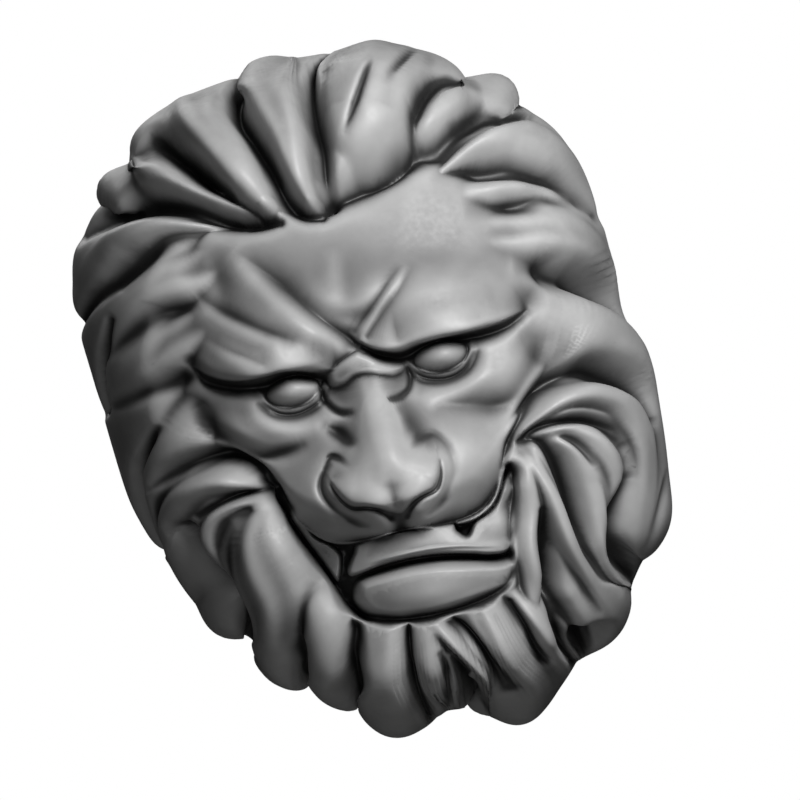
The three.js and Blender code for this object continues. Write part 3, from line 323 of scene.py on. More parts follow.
# Cuts between and along the locks. Each row is u, v, half width and depth.
HAIR_CUTS = [
    [
        (-44, -328, 4, 8), (-60, -304, 7, 19), (-66, -280, 8.5, 27), (-57, -252, 8.5, 27),
        (-46, -220, 8.5, 27), (-38, -190, 8.5, 27), (-26, -172, 7, 19), (-8, -164, 5, 11),
    ],
    [
        (40, -322, 3, 4), (20, -306, 4, 14), (12, -284, 7, 22), (9, -255, 9.5, 27),
        (9, -225, 9.5, 27), (4, -195, 9.5, 27), (2, -176, 8.5, 22),
    ],
    [
        (-2, -173, 10, 14), (22, -182, 14, 22), (50, -191, 16, 25), (80, -202, 15, 22),
        (104, -212, 11, 10),
    ],
    [(34, -224, 4, 2), (46, -240, 4.5, 8), (58, -257, 4.5, 8), (68, -272, 4, 1)],
    [(72, -248, 6, 0), (90, -266, 6, 4), (106, -284, 6, 4), (120, -304, 6, 1)],
    [
        (-162, -282, 9, 3), (-148, -270, 13, 20), (-126, -245, 13, 30), (-108, -223, 12, 32),
        (-92, -206, 9, 20), (-80, -196, 7, 6),
    ],
    [
        (-242, -200, 8, 8), (-215, -208, 11, 18), (-185, -214, 12, 30), (-158, -210, 12, 32),
        (-130, -199, 12, 32), (-100, -184, 11, 30), (-74, -175, 9, 26), (-50, -168, 5, 8),
    ],
    [
        (-272, -124, 9, 8), (-238, -140, 10, 14), (-208, -151, 12, 20), (-180, -163, 12, 18),
        (-150, -176, 10, 9), (-120, -180, 8, 0),
    ],
    [(-222, -112, 4, 5), (-240, -88, 4, 11), (-251, -58, 5, 16), (-258, -28, 5, 14)],
    [(-236, -84, 9, 5), (-205, -96, 11, 11), (-178, -107, 11, 10), (-146, -114, 10, 0)],
    [
        (-250, -30, 8, 3), (-222, -34, 9, 8), (-198, -37, 9, 12), (-178, -39, 8, 7),
        (-158, -40, 7, 0),
    ],
    [
        (-204, 4, 5, 4), (-221, 22, 5, 16), (-235, 42, 5, 22), (-241, 72, 7, 27),
        (-242, 100, 7, 24), (-238, 122, 5, 14),
    ],
    [
        (-222, 58, 5, 4), (-202, 49, 8.5, 16), (-180, 45, 9.5, 27), (-160, 47, 9.5, 30),
        (-143, 57, 8.5, 27), (-131, 71, 9.5, 27), (-121, 90, 9.5, 24), (-112, 112, 9.5, 14),
    ],
    [(-182, 96, 4, 4), (-165, 90, 4, 11), (-148, 87, 5, 14), (-124, 91, 7, 3)],
    [(-170, 126, 6, 1), (-160, 112, 8, 3), (-144, 104, 8, 4), (-122, 106, 8, 1)],
    [
        (-214, 102, 6, 2), (-203, 101, 6, 14), (-195, 112, 8, 26), (-192, 132, 9, 30),
        (-186, 155, 10, 34), (-177, 178, 11, 36), (-170, 200, 12, 36), (-167, 225, 10, 26),
        (-165, 250, 7, 14),
    ],
    [
        (86, -197, 9, 0), (106, -202, 13, 11), (124, -208, 15, 21), (146, -216, 14, 26),
        (170, -223, 13, 24), (192, -221, 11, 14), (212, -211, 8, 4),
    ],
    [
        (96, -212, 7, 2), (102, -228, 8, 12), (112, -246, 8, 15), (128, -260, 8, 12),
        (146, -268, 6, 3),
    ],
    [
        (104, -182, 10, 0), (128, -182, 12, 5), (152, -178, 14, 16), (178, -169, 15, 24),
        (202, -157, 14, 24), (224, -142, 12, 19), (248, -110, 10, 8),
    ],
    [
        (130, -140, 12, 0), (156, -138, 13, 4), (182, -133, 13, 11), (204, -129, 12, 12),
        (232, -120, 10, 4),
    ],
    [
        (164, -72, 10, 0), (182, -67, 11, 6), (198, -60, 13, 20), (213, -51, 15, 34),
        (229, -40, 15, 40), (245, -25, 15, 38), (259, -8, 15, 26), (270, 12, 15, 12),
    ],
    [
        (109, 121, 3, 5), (119, 104, 4, 12), (130, 88, 4.5, 16), (143, 74, 6.5, 20),
        (161, 59, 8.5, 24), (181, 49, 11, 27), (202, 46, 12, 30), (221, 53, 13, 32),
        (238, 67, 12, 32), (247, 85, 9, 24), (250, 108, 7, 8),
    ],
    [
        (126, 99, 5, 0), (146, 92, 5, 12), (166, 90, 4.5, 19), (186, 93, 4.5, 19),
        (200, 100, 5, 16), (210, 110, 7, 11), (215, 124, 7, 4),
    ],
    [
        (146, 100, 5, 0), (158, 101, 5, 6), (169, 105, 5, 10), (178, 113, 5, 11),
        (184, 125, 5, 7), (187, 140, 5, 1),
    ],
    [
        (134, 100, 4, 3), (147, 101, 5, 12), (156, 111, 7, 24), (162, 132, 9, 32),
        (165, 160, 9, 36), (164, 190, 8, 34), (163, 216, 6, 16), (168, 240, 5, 6),
        (176, 262, 5, 1),
    ],
    [
        (134, 170, 4, 7), (131, 195, 7, 24), (127, 220, 7, 27), (125, 245, 7, 24),
        (130, 268, 7, 19), (138, 290, 7, 11),
    ],
    [
        (214, 158, 7, 6), (203, 184, 10, 24), (195, 208, 11, 32), (192, 228, 11, 30),
        (193, 246, 9, 14), (196, 258, 7, 2),
    ],
    [(256, 168, 4, 1), (242, 194, 5, 5), (228, 216, 5, 2)],
    [
        (-106, 228, 8, 0), (-113, 240, 9, 8), (-121, 254, 9, 16), (-130, 268, 9, 18),
        (-127, 286, 8, 12),
    ],
    [
        (-66, 234, 6, 0), (-70, 248, 7, 11), (-76, 266, 8, 24), (-80, 286, 9, 30),
        (-81, 306, 9.5, 28), (-82, 328, 8, 12),
    ],
    [
        (-17, 252, 3, 5), (-21, 270, 4, 18), (-22, 295, 5, 22), (-25, 320, 5, 18),
        (-28, 342, 4, 11),
    ],
    [(8, 276, 3, 4), (10, 295, 4, 11), (6, 320, 4, 5)],
    [(19, 284, 4, 8), (24, 302, 7, 24), (31, 325, 8.5, 30), (38, 350, 7, 19)],
    [(28, 256, 3, 4), (41, 271, 4, 14), (53, 292, 5, 16), (64, 320, 5, 8)],
    [(86, 250, 3, 5), (93, 272, 4, 14), (99, 300, 5, 9)],
    [(119, 236, 4, 8), (121, 268, 7, 22), (122, 294, 9, 27), (124, 318, 8, 8)],
]

# Hollows in the hair: u, v, radius across and down, rise, turn in degrees, firmness of edge.
HAIR_HOLLOWS = [
    (151, 298, 16, 12, -42, -10, 1.6),
    (130, 106, 14, 12, -7, 0, 1.2),
    (192, -242, 20, 15, -9, -15, 1.0),
    (-206, -238, 15, 15, -8, 0, 1.0),
]

# Broad forms of the face: u, v, radius across and down, rise, turn in degrees, firmness of edge.
# What is in a paired table, here and below, is on both sides of the face.
FACE_FORMS = [
    (0, 108, 112, 70, 44, 0, 1.5),
    (15, 205, 100, 40, 50, 0, 1.4),
    (5, 285, 130, 60, 46, 0, 1.8),
    (-2, -66, 20, 40, -7, 0, 1.0),
    (-118, -128, 14, 30, -6, 0, 1.0),
    (-124, -50, 26, 13, 6, 35, 1.2),
    (98, 172, 14, 16, 8, 0, 1.0),
    (116, 128, 8, 11, -14, 30, 1.2),
    (-47, 101, 14, 20, 5, 0, 1.2),
    (39, 101, 14, 20, 4, 0, 1.2),
    (-31, 134, 15, 6, 6, 18, 1.5),
    (28, 135, 15, 6, 6, -18, 1.5),
]
PAIRED_FORMS = [
    (80, -56, 84, 37, 26, 8, 1.2),
    (76, 4, 50, 24, -20, 0, 1.6),
    (124, 22, 44, 34, 15, 20, 1.2),
    (66, 114, 46, 38, 12, 0, 1.2),
]
EYE = {"u": 75.5, "v": -1, "across": 27, "down": 16, "rise": 29, "roundness": 0.8}

# Raised strokes of the face: rows of u, v, half width and rise, then the firmness of their edge.
FACE_SWELLS = [
    (
        [
            (-2, -8, 18, 4), (0, 12, 25, 16), (-1, 36, 25, 22), (-2, 60, 27, 28),
            (-3, 84, 38, 34), (-3, 104, 47, 36), (-3, 122, 47, 34), (-3, 136, 42, 26),
        ],
        3,
    ),
    ([(1, 6, 13, 3), (1, 45, 13, 5), (1, 90, 15, 4), (0, 112, 16, 1)], 3),
    ([(-119, -6, 9, 3), (-113, 16, 11, 6), (-93, 32, 12, 6), (-64, 36, 10, 2)], 2),
    ([(120, 2, 10, 3), (110, 22, 11, 5), (88, 34, 11, 5), (58, 36, 10, 3)], 2),
    ([(4, -42, 4, 1), (25, -62, 4, 3), (45, -80, 4, 3), (64, -98, 4, 0)], 2),
    ([(-8, -134, 10, 0), (-11, -104, 11, 2), (-12, -76, 10, 0)], 2),
    ([(-96, -132, 14, 3), (-70, -92, 14, 8), (-44, -58, 12, 8), (-22, -38, 9, 4)], 2),
    ([(-138, -96, 10, 2), (-112, -72, 10, 6), (-84, -52, 10, 4)], 2),
]

# Edges where the face stands over what lies beside it: rows of u, v, reach and rise.
# The high ground is on the left hand of each row's run, and it falls away again over the reach.
# The step between high and low takes LEDGE_EDGE to each side of the row.
FACE_LEDGES = [
    [
        (-168, -50, 22, 0), (-149, -36, 22, 14), (-122, -27, 22, 25), (-98, -26, 22, 26),
        (-82, -27, 22, 26), (-66, -22, 22, 24), (-54, -17, 22, 18), (-42, -14, 22, 9),
        (-28, -13, 22, 0),
    ],
    [
        (-10, -46, 22, 0), (4, -33, 22, 10), (20, -22, 22, 20), (38, -16, 22, 22),
        (58, -20, 22, 22), (80, -22, 22, 24), (104, -21, 22, 25), (132, -21, 22, 17),
        (150, -24, 22, 8), (168, -29, 22, 0),
    ],
    [
        (-60, 92, 12, 1), (-57, 104, 14, 8), (-51, 115, 15, 11), (-43, 121, 15, 11),
        (-30, 124, 15, 11), (-19, 129, 15, 11), (-9, 135, 15, 10), (0, 137, 15, 10),
        (7, 135, 15, 10), (15, 130, 15, 11), (26, 126, 15, 11), (38, 123, 15, 10),
        (45, 115, 15, 9), (48, 106, 14, 5), (49, 96, 12, 1),
    ],
]
LEDGE_EDGE = 1.6
PAIRED_LEDGES = [
    [
        (107, -8, 5, 2), (103, 1, 7, 6), (95, 9, 8, 8), (78, 14, 8, 8), (64, 12, 8, 8),
        (53, 6, 7, 7), (45, -2, 5, 3),
    ],
]

# Cut strokes of the face: rows of u, v, half width and depth.
FACE_CUTS = [
    [
        (-166, -54, 6, 4), (-155, -33, 8, 14), (-128, -18, 9, 20), (-100, -14, 7, 18),
        (-78, -18, 5, 12), (-56, -11, 6, 14), (-43, -6, 5, 12), (-38, 0, 4, 4),
    ],
    [
        (3, -30, 3, 5), (20, -16, 5, 13), (40, -10, 6, 16), (60, -16, 5, 14), (80, -19, 4, 10),
        (102, -14, 6, 16), (126, -13, 8, 20), (146, -16, 7, 13), (164, -26, 6, 3),
    ],
    [(150, -24, 11, 1), (172, -42, 14, 5), (190, -62, 13, 2)],
    [
        (-168, -8, 8, 3), (-162, 15, 9, 8), (-146, 35, 9, 12), (-122, 53, 8, 13),
        (-100, 56, 7, 8), (-80, 54, 6, 2),
    ],
    [
        (68, 44, 9, 2), (92, 52, 12, 5), (116, 58, 13, 9), (138, 52, 12, 7), (156, 34, 11, 5),
        (172, 8, 10, 2),
    ],
    [(-3, 126, 5, 3), (-3, 138, 9, 12), (-2, 148, 11, 18), (-2, 162, 11, 16)],
    [(-40, -84, 8, 1), (-20, -68, 9, 3), (2, -60, 9, 4), (22, -64, 9, 3), (38, -76, 8, 1)],
    [(-51, 40, 7, 2), (-41, 50, 8, 8), (-31, 62, 6, 5), (-28, 68, 5, 1)],
    [(-62, 80, 3, 2), (-55, 72, 3.5, 5), (-47, 74, 3.5, 5), (-40, 83, 3, 1)],
    [
        (-57, 79, 3, 2), (-66, 88, 4, 6), (-70, 100, 5, 9), (-67, 113, 5, 9), (-58, 126, 5, 8),
        (-46, 136, 5, 6), (-34, 142, 4, 3),
    ],
    [
        (18, 86, 6, 0.5), (30, 76, 5, 1.5), (43, 71, 5, 2), (54, 75, 5, 2), (62, 90, 6, 3),
        (62, 108, 7, 4), (54, 124, 6, 4), (42, 136, 5, 3), (28, 143, 4, 2),
    ],
    [
        (-60, 99, 2.5, 3), (-54, 114, 3, 8), (-45, 123.5, 3, 9), (-31, 126.5, 3, 8),
        (-19, 131.5, 3, 9), (-10, 138, 4, 8),
    ],
    [
        (50.5, 100, 2.5, 3), (47, 114, 3, 7), (39, 125, 3, 8), (26, 128.5, 3, 7),
        (15, 133, 3, 8), (7, 139, 4, 7),
    ],
    [(-47, -1, 3, 6), (-48, 12, 3.5, 9), (-43, 23, 4, 9), (-35, 31, 4, 8), (-25, 34, 4, 3)],
    [
        (41, 2, 2.5, 3), (41, 14, 3.5, 5), (37, 24, 3.5, 5), (27, 30, 4, 3), (15, 32, 4, 2),
        (4, 35, 4, 0),
    ],
]
PAIRED_CUTS = [
    [(44, 4, 2, 1), (56, 16, 2.2, 4), (76, 21.5, 2.4, 5), (94, 17, 2.2, 4), (107, 3, 2, 1)],
    [(41, 6, 2, 1), (53, 20, 2.6, 3), (76, 26, 3, 3.5), (98, 20, 3, 3), (112, 3, 2.6, 1)],
]

# Furrows with a sharp bottom: rows of u, v, half width and depth.
FACE_FURROWS = [
    [
        (-3, -34, 5, 6), (-12, -44, 9, 12), (-38, -72, 14, 15), (-62, -106, 17, 12),
        (-82, -132, 17, 7), (-100, -152, 15, 1),
    ],
    [
        (-66, -52, 8, 2), (-88, -66, 9, 6), (-112, -84, 10, 8), (-134, -104, 10, 4),
        (-146, -120, 8, 1),
    ],
    [(-98, -38, 6, 2), (-114, -47, 7, 4), (-132, -60, 7, 3), (-144, -72, 6, 1)],
    [(-1, -46, 6, 4), (20, -65, 8, 4), (40, -83, 8, 3), (60, -100, 8, 0)],
    [(9, -38, 7, 5), (32, -58, 10, 5), (52, -76, 10, 3), (74, -100, 10, 0)],
]

# Rolled edges of the lips: rows of u, v, how far in the roll begins, and how far it falls.
LIP_ROLLS = [
    [
        (-127, 80, 12, 4), (-112, 104, 20, 12), (-96, 130, 30, 22), (-70, 152, 34, 26),
        (-40, 156, 32, 24), (0, 154, 28, 20), (36, 160, 32, 24), (68, 158, 34, 26),
        (92, 144, 30, 22), (106, 124, 22, 12), (120, 102, 14, 2),
    ],
]

# Raised plates of the face: an outline, the rise inside it and how far in its edge rounds over.
FACE_PLATES = [
    (
        [
            (-38, -10), (-8, -27), (3, -22), (20, -10), (37, -3), (36, 4), (26, 7), (14, 4),
            (0, -1), (-12, -1), (-25, 5), (-38, 3),
        ],
        9, 7,
    ),
]

# The open mouth: its outline, how deep it is sunk, and the plates and ridges inside it.
MOUTH = [
    (-127, 82), (-112, 108), (-96, 131), (-70, 153), (-40, 158), (0, 155), (36, 161), (68, 159),
    (92, 145), (104, 128), (112, 119), (119, 117), (123, 125), (119, 150), (112, 180),
    (103, 200), (101, 219), (92, 236), (60, 249), (0, 252), (-48, 243), (-74, 226), (-88, 190),
    (-104, 150), (-118, 112),
]
MOUTH_SINK = 44
MOUTH_SOFTNESS = 5
MOUTH_PLATES = [
    (
        [
            (-46, 159), (0, 156), (46, 161), (52, 172), (60, 178), (70, 166), (90, 157),
            (104, 138), (120, 116), (130, 112), (122, 148), (113, 176), (105, 198), (94, 206),
            (76, 204), (60, 199), (30, 192), (0, 189), (-30, 190), (-60, 194), (-66, 186),
            (-56, 170),
        ],
        38, 5,
    ),
    (
        [
            (-58, 196), (-30, 192), (0, 191), (30, 194), (62, 201), (88, 206), (114, 200),
            (126, 218), (114, 242), (84, 248), (20, 254), (-20, 252), (-44, 246), (-60, 235),
            (-68, 215),
        ],
        46, 15,
    ),
    (
        [
            (-110, 121), (-97, 128), (-87, 144), (-74, 156), (-67, 172), (-77, 196), (-87, 178),
            (-99, 148),
        ],
        26, 5,
    ),
]
MOUTH_RIDGES = [
    [
        (54, 164, 3, 30), (70, 163, 4, 40), (86, 156, 4.5, 42), (97, 144, 4.5, 42),
        (106, 130, 4, 40), (111, 122, 2.5, 40),
    ],
    [
        (-52, 184, 6, 34), (-20, 182, 7, 42), (14, 182, 7, 43), (46, 186, 7, 42),
        (70, 192, 7, 40), (90, 197, 6, 36),
    ],
    [(122, 132, 5, 30), (117, 152, 10, 42), (110, 178, 13, 46), (101, 198, 9, 38)],
]

# Where carved edges hang over what is below: u, v, radii across and down, and how far they droop.
DROOPS = [
    (0, 146, 92, 12, 5),
    (-3, 122, 44, 8, 3),
    (-82, -32, 66, 10, 5),
    (82, -30, 66, 10, 5),
    (45, -196, 60, 14, 5),
]


def smooth_rows(rows, steps, closed=False):
    """A smooth curve through rows of numbers, each column carried along together."""
    points = np.array(rows, float)
    count = len(points)
    spans = count if closed else count - 1
    t = np.arange(steps)[:, None] / steps
    out = []
    for span in range(spans):
        picks = [span - 1, span, span + 1, span + 2]
        picks = [k % count if closed else min(max(k, 0), count - 1) for k in picks]
        before, start, end, after = points[picks]
        slope_start = (end - before) / 2
        slope_end = (after - start) / 2
        gap = start - end
        out.append(
            (2 * gap + slope_start + slope_end) * t**3
            + (-3 * gap - 2 * slope_start - slope_end) * t**2
            + slope_start * t
            + start
        )
    if not closed:
        out.append(points[-1:])
    return np.vstack(out)


def smooth_max(a, b, softness):
    """The larger of two heights, with the crease between them filled a little."""
    overlap = np.maximum(softness - np.abs(a - b), 0) / softness
    return np.maximum(a, b) + overlap**2 * softness / 4


def smooth_step(x, low, high):
    """None below the low value, one above the high value, and a smooth slope between them."""
    t = np.clip((x - low) / (high - low), 0, 1)
    return t * t * (3 - 2 * t)


def nearest_place(u, v, start, end):
    """Where along a straight piece each point's nearest place lies, and its distance squared."""
    du, dv = end[0] - start[0], end[1] - start[1]
    t = np.clip(((u - start[0]) * du + (v - start[1]) * dv) / max(du * du + dv * dv, TINY), 0, 1)
    return t, (u - start[0] - t * du) ** 2 + (v - start[1] - t * dv) ** 2


def near_stroke(rows, u, v, reach):
    """The points near a stroke, how many half widths each lies to its side, and its size there."""
    stroke = smooth_rows(rows, STROKE_STEPS)
    margin = reach * stroke[:, 2].max()
    low = stroke[:, :2].min(axis=0) - margin
    high = stroke[:, :2].max(axis=0) + margin
    near = np.flatnonzero((u > low[0]) & (u < high[0]) & (v > low[1]) & (v < high[1]))
    un, vn = u[near], v[near]
    squared = np.full(len(near), np.inf)
    side = np.zeros(len(near))
    width = np.ones(len(near))
    height = np.zeros(len(near))
    for (u0, v0, w0, h0), (u1, v1, w1, h1) in zip(stroke[:-1], stroke[1:]):
        t, away = nearest_place(un, vn, (u0, v0), (u1, v1))
        hand = np.sign((u1 - u0) * (vn - v0) - (v1 - v0) * (un - u0))
        closer = away < squared
        squared = np.where(closer, away, squared)
        side = np.where(closer, hand, side)
        width = np.where(closer, w0 + t * (w1 - w0), width)
        height = np.where(closer, h0 + t * (h1 - h0), height)
    return near, side * np.sqrt(squared) / width, width, height


def pillow(rows, u, v, strands=1, strand_depth=0):
    """A rounded lock or ridge: full height on its line, none at its half width."""
    near, offset, width, height = near_stroke(rows, u, v, 1)
    share = np.clip(offset**2, 0, 1)
    fullness = smooth_step(width / max(row[2] for row in rows), FLUTES_FROM, 1)
    flutes = (0.5 + 0.5 * np.cos(math.pi * strands * (offset + 1))) * strand_depth * fullness
    out = np.zeros(len(u))
    out[near] = (height - (flutes if strands > 1 else 0)) * (1 - share) ** LOCK_ROUNDNESS
    return out


def soft_stroke(rows, u, v, firmness=2):
    """A stroke that fades away to both sides, the more abruptly the firmer its edge."""
    near, offset, _, height = near_stroke(rows, u, v, SOFT_REACH)
    out = np.zeros(len(u))
    out[near] = height * np.exp(-(np.abs(offset) ** firmness))
    return out


def ledge(rows, u, v):
    """A step up to the left of a stroke, fading away behind its edge."""
    near, offset, width, height = near_stroke(rows, u, v, SOFT_REACH)
    out = np.zeros(len(u))
    high_side = smooth_step(-offset * width, -LEDGE_EDGE, LEDGE_EDGE)
    out[near] = height * np.exp(-(offset**2)) * high_side
    return out


def rolled_edge(rows, u, v):
    """How far a rolled edge falls: all of it on the stroke's line and none at its half width."""
    near, offset, _, height = near_stroke(rows, u, v, 1)
    out = np.zeros(len(u))
    out[near] = height * np.clip(1 - np.abs(offset), 0, 1) ** 2
    return out


def mound(form, u, v):
    """A rounded oval rise, or a hollow where its rise is negative."""
    centre_u, centre_v, across, down, rise, turn, firm = form
    angle = math.radians(turn)
    du, dv = u - centre_u, v - centre_v
    a = (du * math.cos(angle) + dv * math.sin(angle)) / across
    b = (dv * math.cos(angle) - du * math.sin(angle)) / down
    return rise * np.exp(-((a * a + b * b) ** firm))


def mirrored(rows):
    """The same stroke on the other side of the face, run backwards so that its left stays left."""
    return [(-row[0], *row[1:]) for row in reversed(rows)]


def both_sides(paired):
    return paired + [mirrored(rows) for rows in paired]


def mirrored_form(form):
    centre_u, centre_v, across, down, rise, turn, firm = form
    return (-centre_u, centre_v, across, down, rise, -turn, firm)


def depth_inside(outline, u, v):
    """How far inside a closed outline each point lies, negative outside it."""
    edge = smooth_rows(outline, STROKE_STEPS, closed=True)
    inside = np.zeros(len(u), bool)
    squared = np.full(len(u), np.inf)
    for (u0, v0), (u1, v1) in zip(edge, np.roll(edge, -1, axis=0)):
        crosses = (v0 > v) != (v1 > v)
        if v1 != v0:
            inside ^= crosses & (u < (u1 - u0) * (v - v0) / (v1 - v0) + u0)
        squared = np.minimum(squared, nearest_place(u, v, (u0, v0), (u1, v1))[1])
    return np.where(inside, 1, -1) * np.sqrt(squared)


def rounded_step(depth, softness):
    """None at the edge of a plate, rounding over to one inside it."""
    return 1 - (1 - np.clip(depth / softness, 0, 1)) ** 2


def plate(outline, rise, softness, u, v):
    return rise * rounded_step(depth_inside(outline, u, v), softness)


def eyeball(side, u, v):
    across = (u - side * EYE["u"]) / EYE["across"]
    down = (v - EYE["v"]) / EYE["down"]
    return EYE["rise"] * np.clip(1 - across**2 - down**2, 0, 1) ** EYE["roundness"]


def mouth_opening(u, v):
    return smooth_step(depth_inside(MOUTH, u, v), 0, MOUTH_SOFTNESS)


def face_relief(u, v):
    """What the face stands out from the dome, towards the viewer."""
    forms = FACE_FORMS + PAIRED_FORMS + [mirrored_form(form) for form in PAIRED_FORMS]
    broad = sum(mound(form, u, v) for form in forms) + sum(eyeball(side, u, v) for side in (-1, 1))
    fine = sum(soft_stroke(rows, u, v, firmness) for rows, firmness in FACE_SWELLS)
    fine = fine + sum(ledge(rows, u, v) for rows in FACE_LEDGES + both_sides(PAIRED_LEDGES))
    fine = fine + sum(plate(*parts, u, v) for parts in FACE_PLATES)
    fine = fine - sum(soft_stroke(rows, u, v) for rows in FACE_CUTS + both_sides(PAIRED_CUTS))
    fine = fine - sum(soft_stroke(rows, u, v, FURROW_FIRMNESS) for rows in FACE_FURROWS)
    fine = fine - sum(rolled_edge(rows, u, v) for rows in LIP_ROLLS)
    opening = mouth_opening(u, v)
    within = np.zeros(len(u))
    for parts in MOUTH_PLATES:
        within = smooth_max(within, plate(*parts, u, v), CREASE_SOFTNESS)
    for rows in MOUTH_RIDGES:
        within = smooth_max(within, pillow(rows, u, v), CREASE_SOFTNESS)
    return broad + fine * (1 - opening) + opening * (within - MOUTH_SINK)


def hair_relief(u, v):
    """What the hair stands out from the dome, square to its surface."""
    raised = MANE_RISE * smooth_step(-depth_inside(FACE_EDGE, u, v), 0, MANE_SOFTNESS)
    for rows, strands, strand_depth in LOCKS:
        raised = smooth_max(raised, pillow(rows, u, v, strands, strand_depth), CREASE_SOFTNESS)
    raised = raised - sum(soft_stroke(rows, u, v) for rows in HAIR_CUTS)
    raised = raised + sum(mound(form, u, v) for form in HAIR_HOLLOWS)
    return raised * (1 - mouth_opening(u, v))


def droop(u, v):
    """How far the carving hangs below its place in the drawing."""
    return sum(mound((*form, 0, 1), u, v) for form in DROOPS)


def outline_radius(angle):
    """The outline's radius at each angle about the middle of the dome."""
    edge = smooth_rows(OUTLINE, STROKE_STEPS, closed=True) - (DOME_U, DOME_V)
    angles = np.arctan2(edge[:, 1], edge[:, 0])
    order = np.argsort(angles)
    return np.interp(angle, angles[order], np.hypot(*edge.T)[order], period=2 * math.pi)


def even_radius(angle):
    """The outline's radius with its notches evened out, as the dome has it away from the wall."""
    turns = np.linspace(-OUTLINE_EVENING, OUTLINE_EVENING, EVENING_STEPS)
    return np.mean([outline_radius(angle + turn) for turn in turns], axis=0)


def superellipse(angle, boxiness):
    """Reach and height of a quarter of a rounded box, as shares, at angles from its top."""
    return np.sin(angle) ** (2 / boxiness), np.clip(np.cos(angle), 0, 1) ** (2 / boxiness)


def dome_section(share, direction):
    """Reach and height of the dome's section, as shares, at shares of the length of its arc."""
    angle = np.linspace(0, math.pi / 2, SECTION_STEPS + 1)
    steps = np.hypot(*np.diff(superellipse(angle, DOME_BOXINESS), axis=1))
    length = np.append(0, np.cumsum(steps)) / steps.sum()
    chin = np.clip(np.sin(direction), 0, 1) ** 2
    boxiness = DOME_BOXINESS + (CHIN_BOXINESS - DOME_BOXINESS) * chin
    return superellipse(np.interp(share, length, angle), boxiness)


def crowded(s):
    """Shares from -1 to 1 moved closer together about the middle."""
    return s * (1 - FACE_CROWDING) + FACE_CROWDING * s**3


def dome_place(u, v, h):
    """From the drawing to modules in the mask's own frame: across, out from the wall and up."""
    ahead = h - DEPTH_MODULES
    across = (u + ahead * math.sin(DRAWN_FROM_SIDE)) / math.cos(DRAWN_FROM_SIDE)
    up = (ahead * math.sin(DRAWN_FROM_ABOVE) - v) / math.cos(DRAWN_FROM_ABOVE) + EYE_LINE_RISE
    return np.stack([across, h, up], axis=-1)


def disc_crossings():
    """The grid's crossings on a round disc, as shares of its radius across and up."""
    a, b = np.meshgrid(
        crowded(np.linspace(-1, 1, LINES_ACROSS + 1)), crowded(np.linspace(-1, 1, LINES_UP + 1))
    )
    return a * np.sqrt(1 - b * b / 2), b * np.sqrt(1 - a * a / 2)


def dome_grid():
    """The crossings on the bare dome, their heights as shares, and where each reads the drawing."""
    across, up = disc_crossings()
    share = np.clip(np.hypot(across, up), TINY, 1)
    du, dv = across * DOME_HALF_WIDTH, -up * DOME_HALF_HEIGHT
    direction = np.arctan2(dv, du)
    reach, height = dome_section(share, direction)
    rim = np.zeros(share.shape, bool)
    rim[[0, -1], :] = True
    rim[:, [0, -1]] = True
    height = np.where(rim, 0, height)
    notched = smooth_step(reach, *NOTCHED_FROM_TO)
    radius = even_radius(direction) * (1 - notched) + outline_radius(direction) * notched
    stretch = radius / np.maximum(np.hypot(du, dv), TINY)
    run = reach * stretch
    base = dome_place(DOME_U + du * run, DOME_V + dv * run, height * DEPTH_MODULES)
    read = (reach + FLANK_RUN * (1 - height) ** 3) * stretch
    return base, height, DOME_U + du * read, DOME_V + dv * read


def outward_normals(grid):
    """The direction square to the surface at each crossing, away from the wall."""
    outward = np.cross(np.gradient(grid, axis=0), np.gradient(grid, axis=1))
    return outward / np.maximum(np.linalg.norm(outward, axis=-1, keepdims=True), TINY)


def carved_grid():
    """Every crossing of the grid in modules, carved, as an array of rows up the mask."""
    base, height, u, v = dome_grid()
    hair, face, hang = (
        relief(u.ravel(), v.ravel()).reshape(u.shape) for relief in (hair_relief, face_relief, droop)
    )
    edge = smooth_step(height, 0, EDGE_RELIEF_FROM)
    toward_drawing = np.array([math.sin(DRAWN_FROM_SIDE), 1, math.sin(DRAWN_FROM_ABOVE)])
    carved = base + edge[..., None] * outward_normals(base) * hair[..., None]
    carved += edge[..., None] * face[..., None] * toward_drawing
    carved[..., 2] -= edge * hang
    return carved


def hollowness(grid, passes):
    """How far each crossing lies below the surface smoothed this many times, in modules."""
    smoothed = grid.copy()
    for _ in range(passes):
        smoothed[1:-1] = (smoothed[:-2] + 2 * smoothed[1:-1] + smoothed[2:]) / 4
        smoothed[:, 1:-1] = (smoothed[:, :-2] + 2 * smoothed[:, 1:-1] + smoothed[:, 2:]) / 4
    return ((smoothed - grid) * outward_normals(grid)).sum(axis=-1)


def thin_out(mask):
    thinning = mask.modifiers.new("thinning", "DECIMATE")
    thinning.ratio = MOST_TRIANGLES / len(mask.data.polygons)
    evaluated = mask.evaluated_get(bpy.context.evaluated_depsgraph_get())
    mesh = bpy.data.meshes.new_from_object(evaluated)
    mask.modifiers.clear()
    mask.data = mesh


def front_triangles(points, index):
    """Two triangles for each cell of the grid, cut along its shorter diagonal."""
    lower_left, lower_right = index[:-1, :-1], index[:-1, 1:]
    upper_left, upper_right = index[1:, :-1], index[1:, 1:]
    rising = np.linalg.norm(points[lower_left] - points[upper_right], axis=-1)
    falling = np.linalg.norm(points[lower_right] - points[upper_left], axis=-1)
    below = np.where(
        (rising <= falling)[..., None],
        np.stack([lower_left, lower_right, upper_right], -1),
        np.stack([lower_left, lower_right, upper_left], -1),
    )
    above = np.where(
        (rising <= falling)[..., None],
        np.stack([lower_left, upper_right, upper_left], -1),
        np.stack([lower_right, upper_right, upper_left], -1),
    )
    return np.concatenate([below.reshape(-1, 3), above.reshape(-1, 3)])


